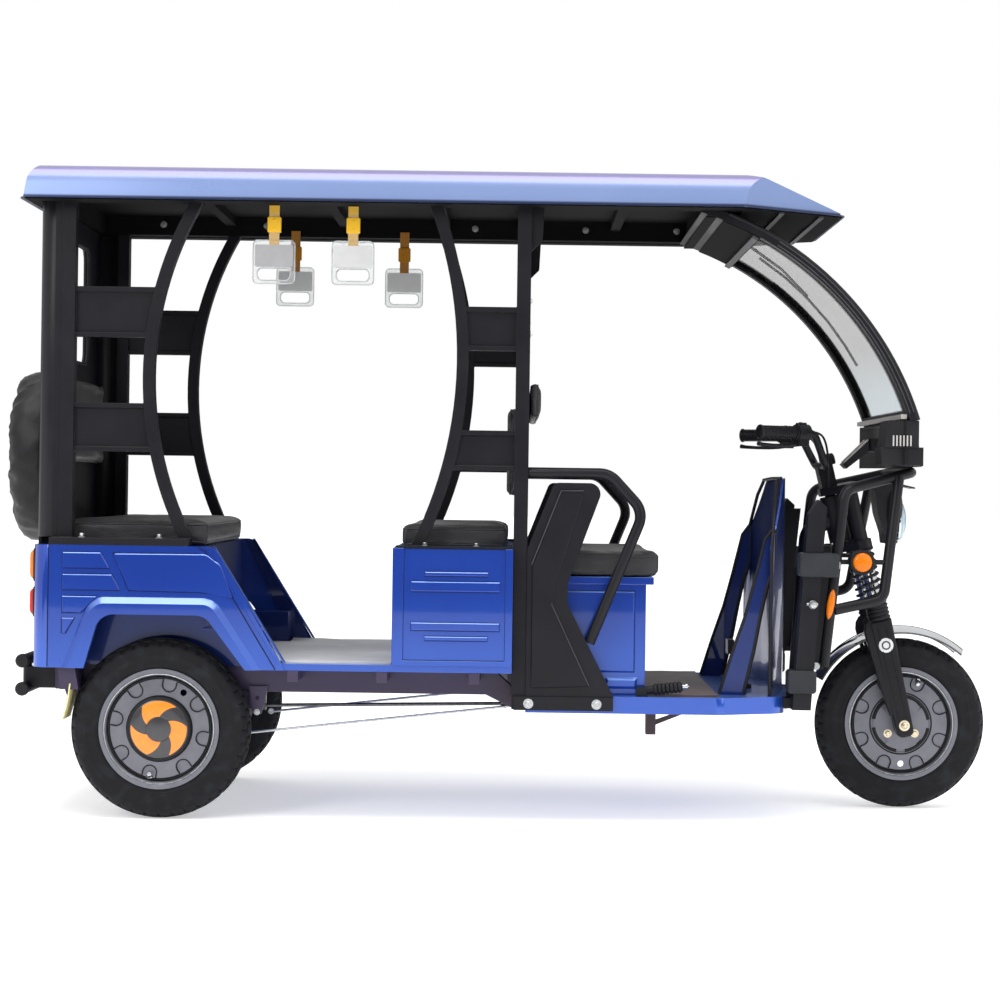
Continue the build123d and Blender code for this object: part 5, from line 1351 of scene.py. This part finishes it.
# Mud flaps hung close behind the rear tyres
def flaps():
    made = []
    for side, name in SIDES:
        rings = []
        for x, z in ((-1160, 366), (-1162, 345), (-1169, 305), (-1179, 268)):
            corners = ((x, 370), (x - 4, 370), (x - 4, 478), (x, 478))
            rings.append([(p, side * y, z) for p, y in corners])
        made.append(Form().loft(rings).make("mud_flap_" + name, flap, "pale_rubber"))
        hanger = [(-1190, 350), (-1140, 350), (-1150, 409), (-1196, 409)]
        hanger = Form().slab(hanger, side * 362, side * 474)
        hanger.make("flap_hanger_" + name, purple, "chassis_paint")
    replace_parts(made[0], "mud_flaps")


# Second pair of pull rods, lower than the first
def pull_rods():
    rods = Form()
    for side in (1, -1):
        rods.pipe(upright(((-700, 222), (-690, 222), (36, 306), (46, 307)), side * 300), 3.6, 8)
        rods.turned([(9, 0), (9, 8)], (-698, side * 296, 222), (0, side, 0), 16)
    rods.make("pull_rods", zinc, "steel")


# Dark pipes round the pressings of the body sides and seat boxes, painted shade along their edges, and pale
# pipes on the side guards, painted highlight along their pressed edges
# top, its front end, foot, its front end
STACK = [
    (722, -1081, 679, -1056), (663, -1050, 620, -1027), (604, -1088, 558, -1132), (545, -1149, 503, -1173),
]
STACK_BACK = -1184
BIG_PANEL = [
    (-1049, 720), (-820, 721), (-792, 716), (-772, 704), (-757, 682), (-722, 601), (-770, 612), (-809, 617),
    (-1005, 620),
]
# rear end, front end, height, half width
RIBS = [(-244, -3, 642, 14), (-244, -3, 534, 11), (-207, -35, 676, 6), (-207, -35, 502, 6)]


def shade_lines():
    body, boxes, guard = Form(), Form(), Form()
    for side in (1, -1):
        panels = [[(STACK_BACK, top), (a, top), (b, foot), (STACK_BACK, foot)] for top, a, foot, b in STACK]
        for panel in panels + [BIG_PANEL]:
            body.pipe(upright(panel, side * BODY_Y), 1.7, 6, loop=True)
        body.pipe(upright(((-818, 738), (-800, 728), (-607, 412)), side * (BODY_Y + 0.2)), 1.6, 6)
        body.pipe(upright(((-1222, 739), (-1222, 412)), side * (BODY_Y - 0.2)), 1.5, 6)
        for x0, x1, z, half in RIBS:
            boxes.pipe(upright(oblong(x0, x1, z - half, z + half), side * BODY_Y), 1.4, 6, loop=True)
        boxes.pipe(upright(oblong(-264, 11, 443, 744), side * (BODY_Y + 0.2)), 1.6, 6, loop=True)
        boxes.pipe(upright(oblong(150, 367, 410, 632), side * BOX_Y), 1.6, 6, loop=True)
        boxes.pipe(upright(((250, 487), (366, 470)), side * (BOX_Y - 0.2)), 1.6, 6)
        # Pale pipes along the guards' pressed edges: painted highlight
        guard.pipe(upright(((81, 703), (159, 905), (220, 906)), side * GUARD_Y), 1.5, 6)
        guard.pipe(upright(((136, 599), (241, 377)), side * GUARD_Y), 1.5, 6)
    guard.make("guard_highlight_lines", pale_grey, "frame_black", 60)
    # Blue-black pipes round the pressings: painted shade along their edges
    body.make("body_shade_lines", shade, "body_blue", 60)
    boxes.make("box_shade_lines", shade, "body_blue", 60)


# Plates that close the front guard's foot and the wheel arch's front
def infill():
    guard, cheek = Form(), Form()
    for side in (1, -1):
        guard.slab([(845, 440), (890, 440), (915, 690), (862, 690)], side * 346, side * 354)
        guard.slab([(792, 330), (850, 330), (902, 860), (848, 860)], side * 300, side * 305)
        cheek.slab([(-800, 735), (-770, 735), (-585, 412), (-640, 412)], side * 460, side * 463)
    guard.make("guard_infill", black, "frame_black")
    cheek.make("arch_cheek", deep_blue, "body_blue")


# Dark lining under the roof's overhang, and grey bows across the windscreen's head
def roof_lining():
    outer = [(-1296, 512), (636, 512), (928, 322), (928, -322), (636, -512), (-1296, -512)]
    hole = [(-1262, 451), (600, 451), (640, 451), (640, -451), (600, -451), (-1262, -451)]
    rings = []
    for outline, z in ((outer, 1673.6), (outer, 1671.4), (hole, 1671.4), (hole, 1673.6)):
        rings.append([(x, y, z) for x, y in outline])
    Form().loft(rings, loop=True).make("roof_lining_edge", lining, "frame_black")
    heights = [1672, 1660, 1648, 1636, 1624]
    sheet = [(z, -25.5) for z in heights] + [(z, -27) for z in reversed(heights)]
    head = Form().loft([[on_screen(z, y, proud) for z, proud in sheet] for y in (-417, 417)])
    head.slab(oblong(544, 612, 1656, 1659.4), -417, 417)
    head.make("screen_head_lining", lining, "frame_black")
    strip = ((1634, -27.5), (1626, -27.5), (1626, -35), (1634, -35))
    bows = Form().loft([[on_screen(z, y, proud) for z, proud in strip] for y in (-416, 416)])
    for x in (742, 860):
        half = 512 - (x - 636) * 190 / 292 - 14
        bows.slab(oblong(x, x + 14, 1666, 1671), -half, half)
    bows.make("head_bows", pale_grey, "frame_black")


photograph_camera()
studio()
bar_dress()
tyres()
wheel_dress()
padded_seats()
spare_cover()
hand_straps()
floor_mats()
fork_dress()
fender_dress()
headlamp_dress()
guard_dress()
screen_dress()
fasteners()
brake_dress()
shield_trim()
tail_dress()
infill()
cowl_dress()
flaps()
pull_rods()
shade_lines()
tail_lenses()
roof_lining()
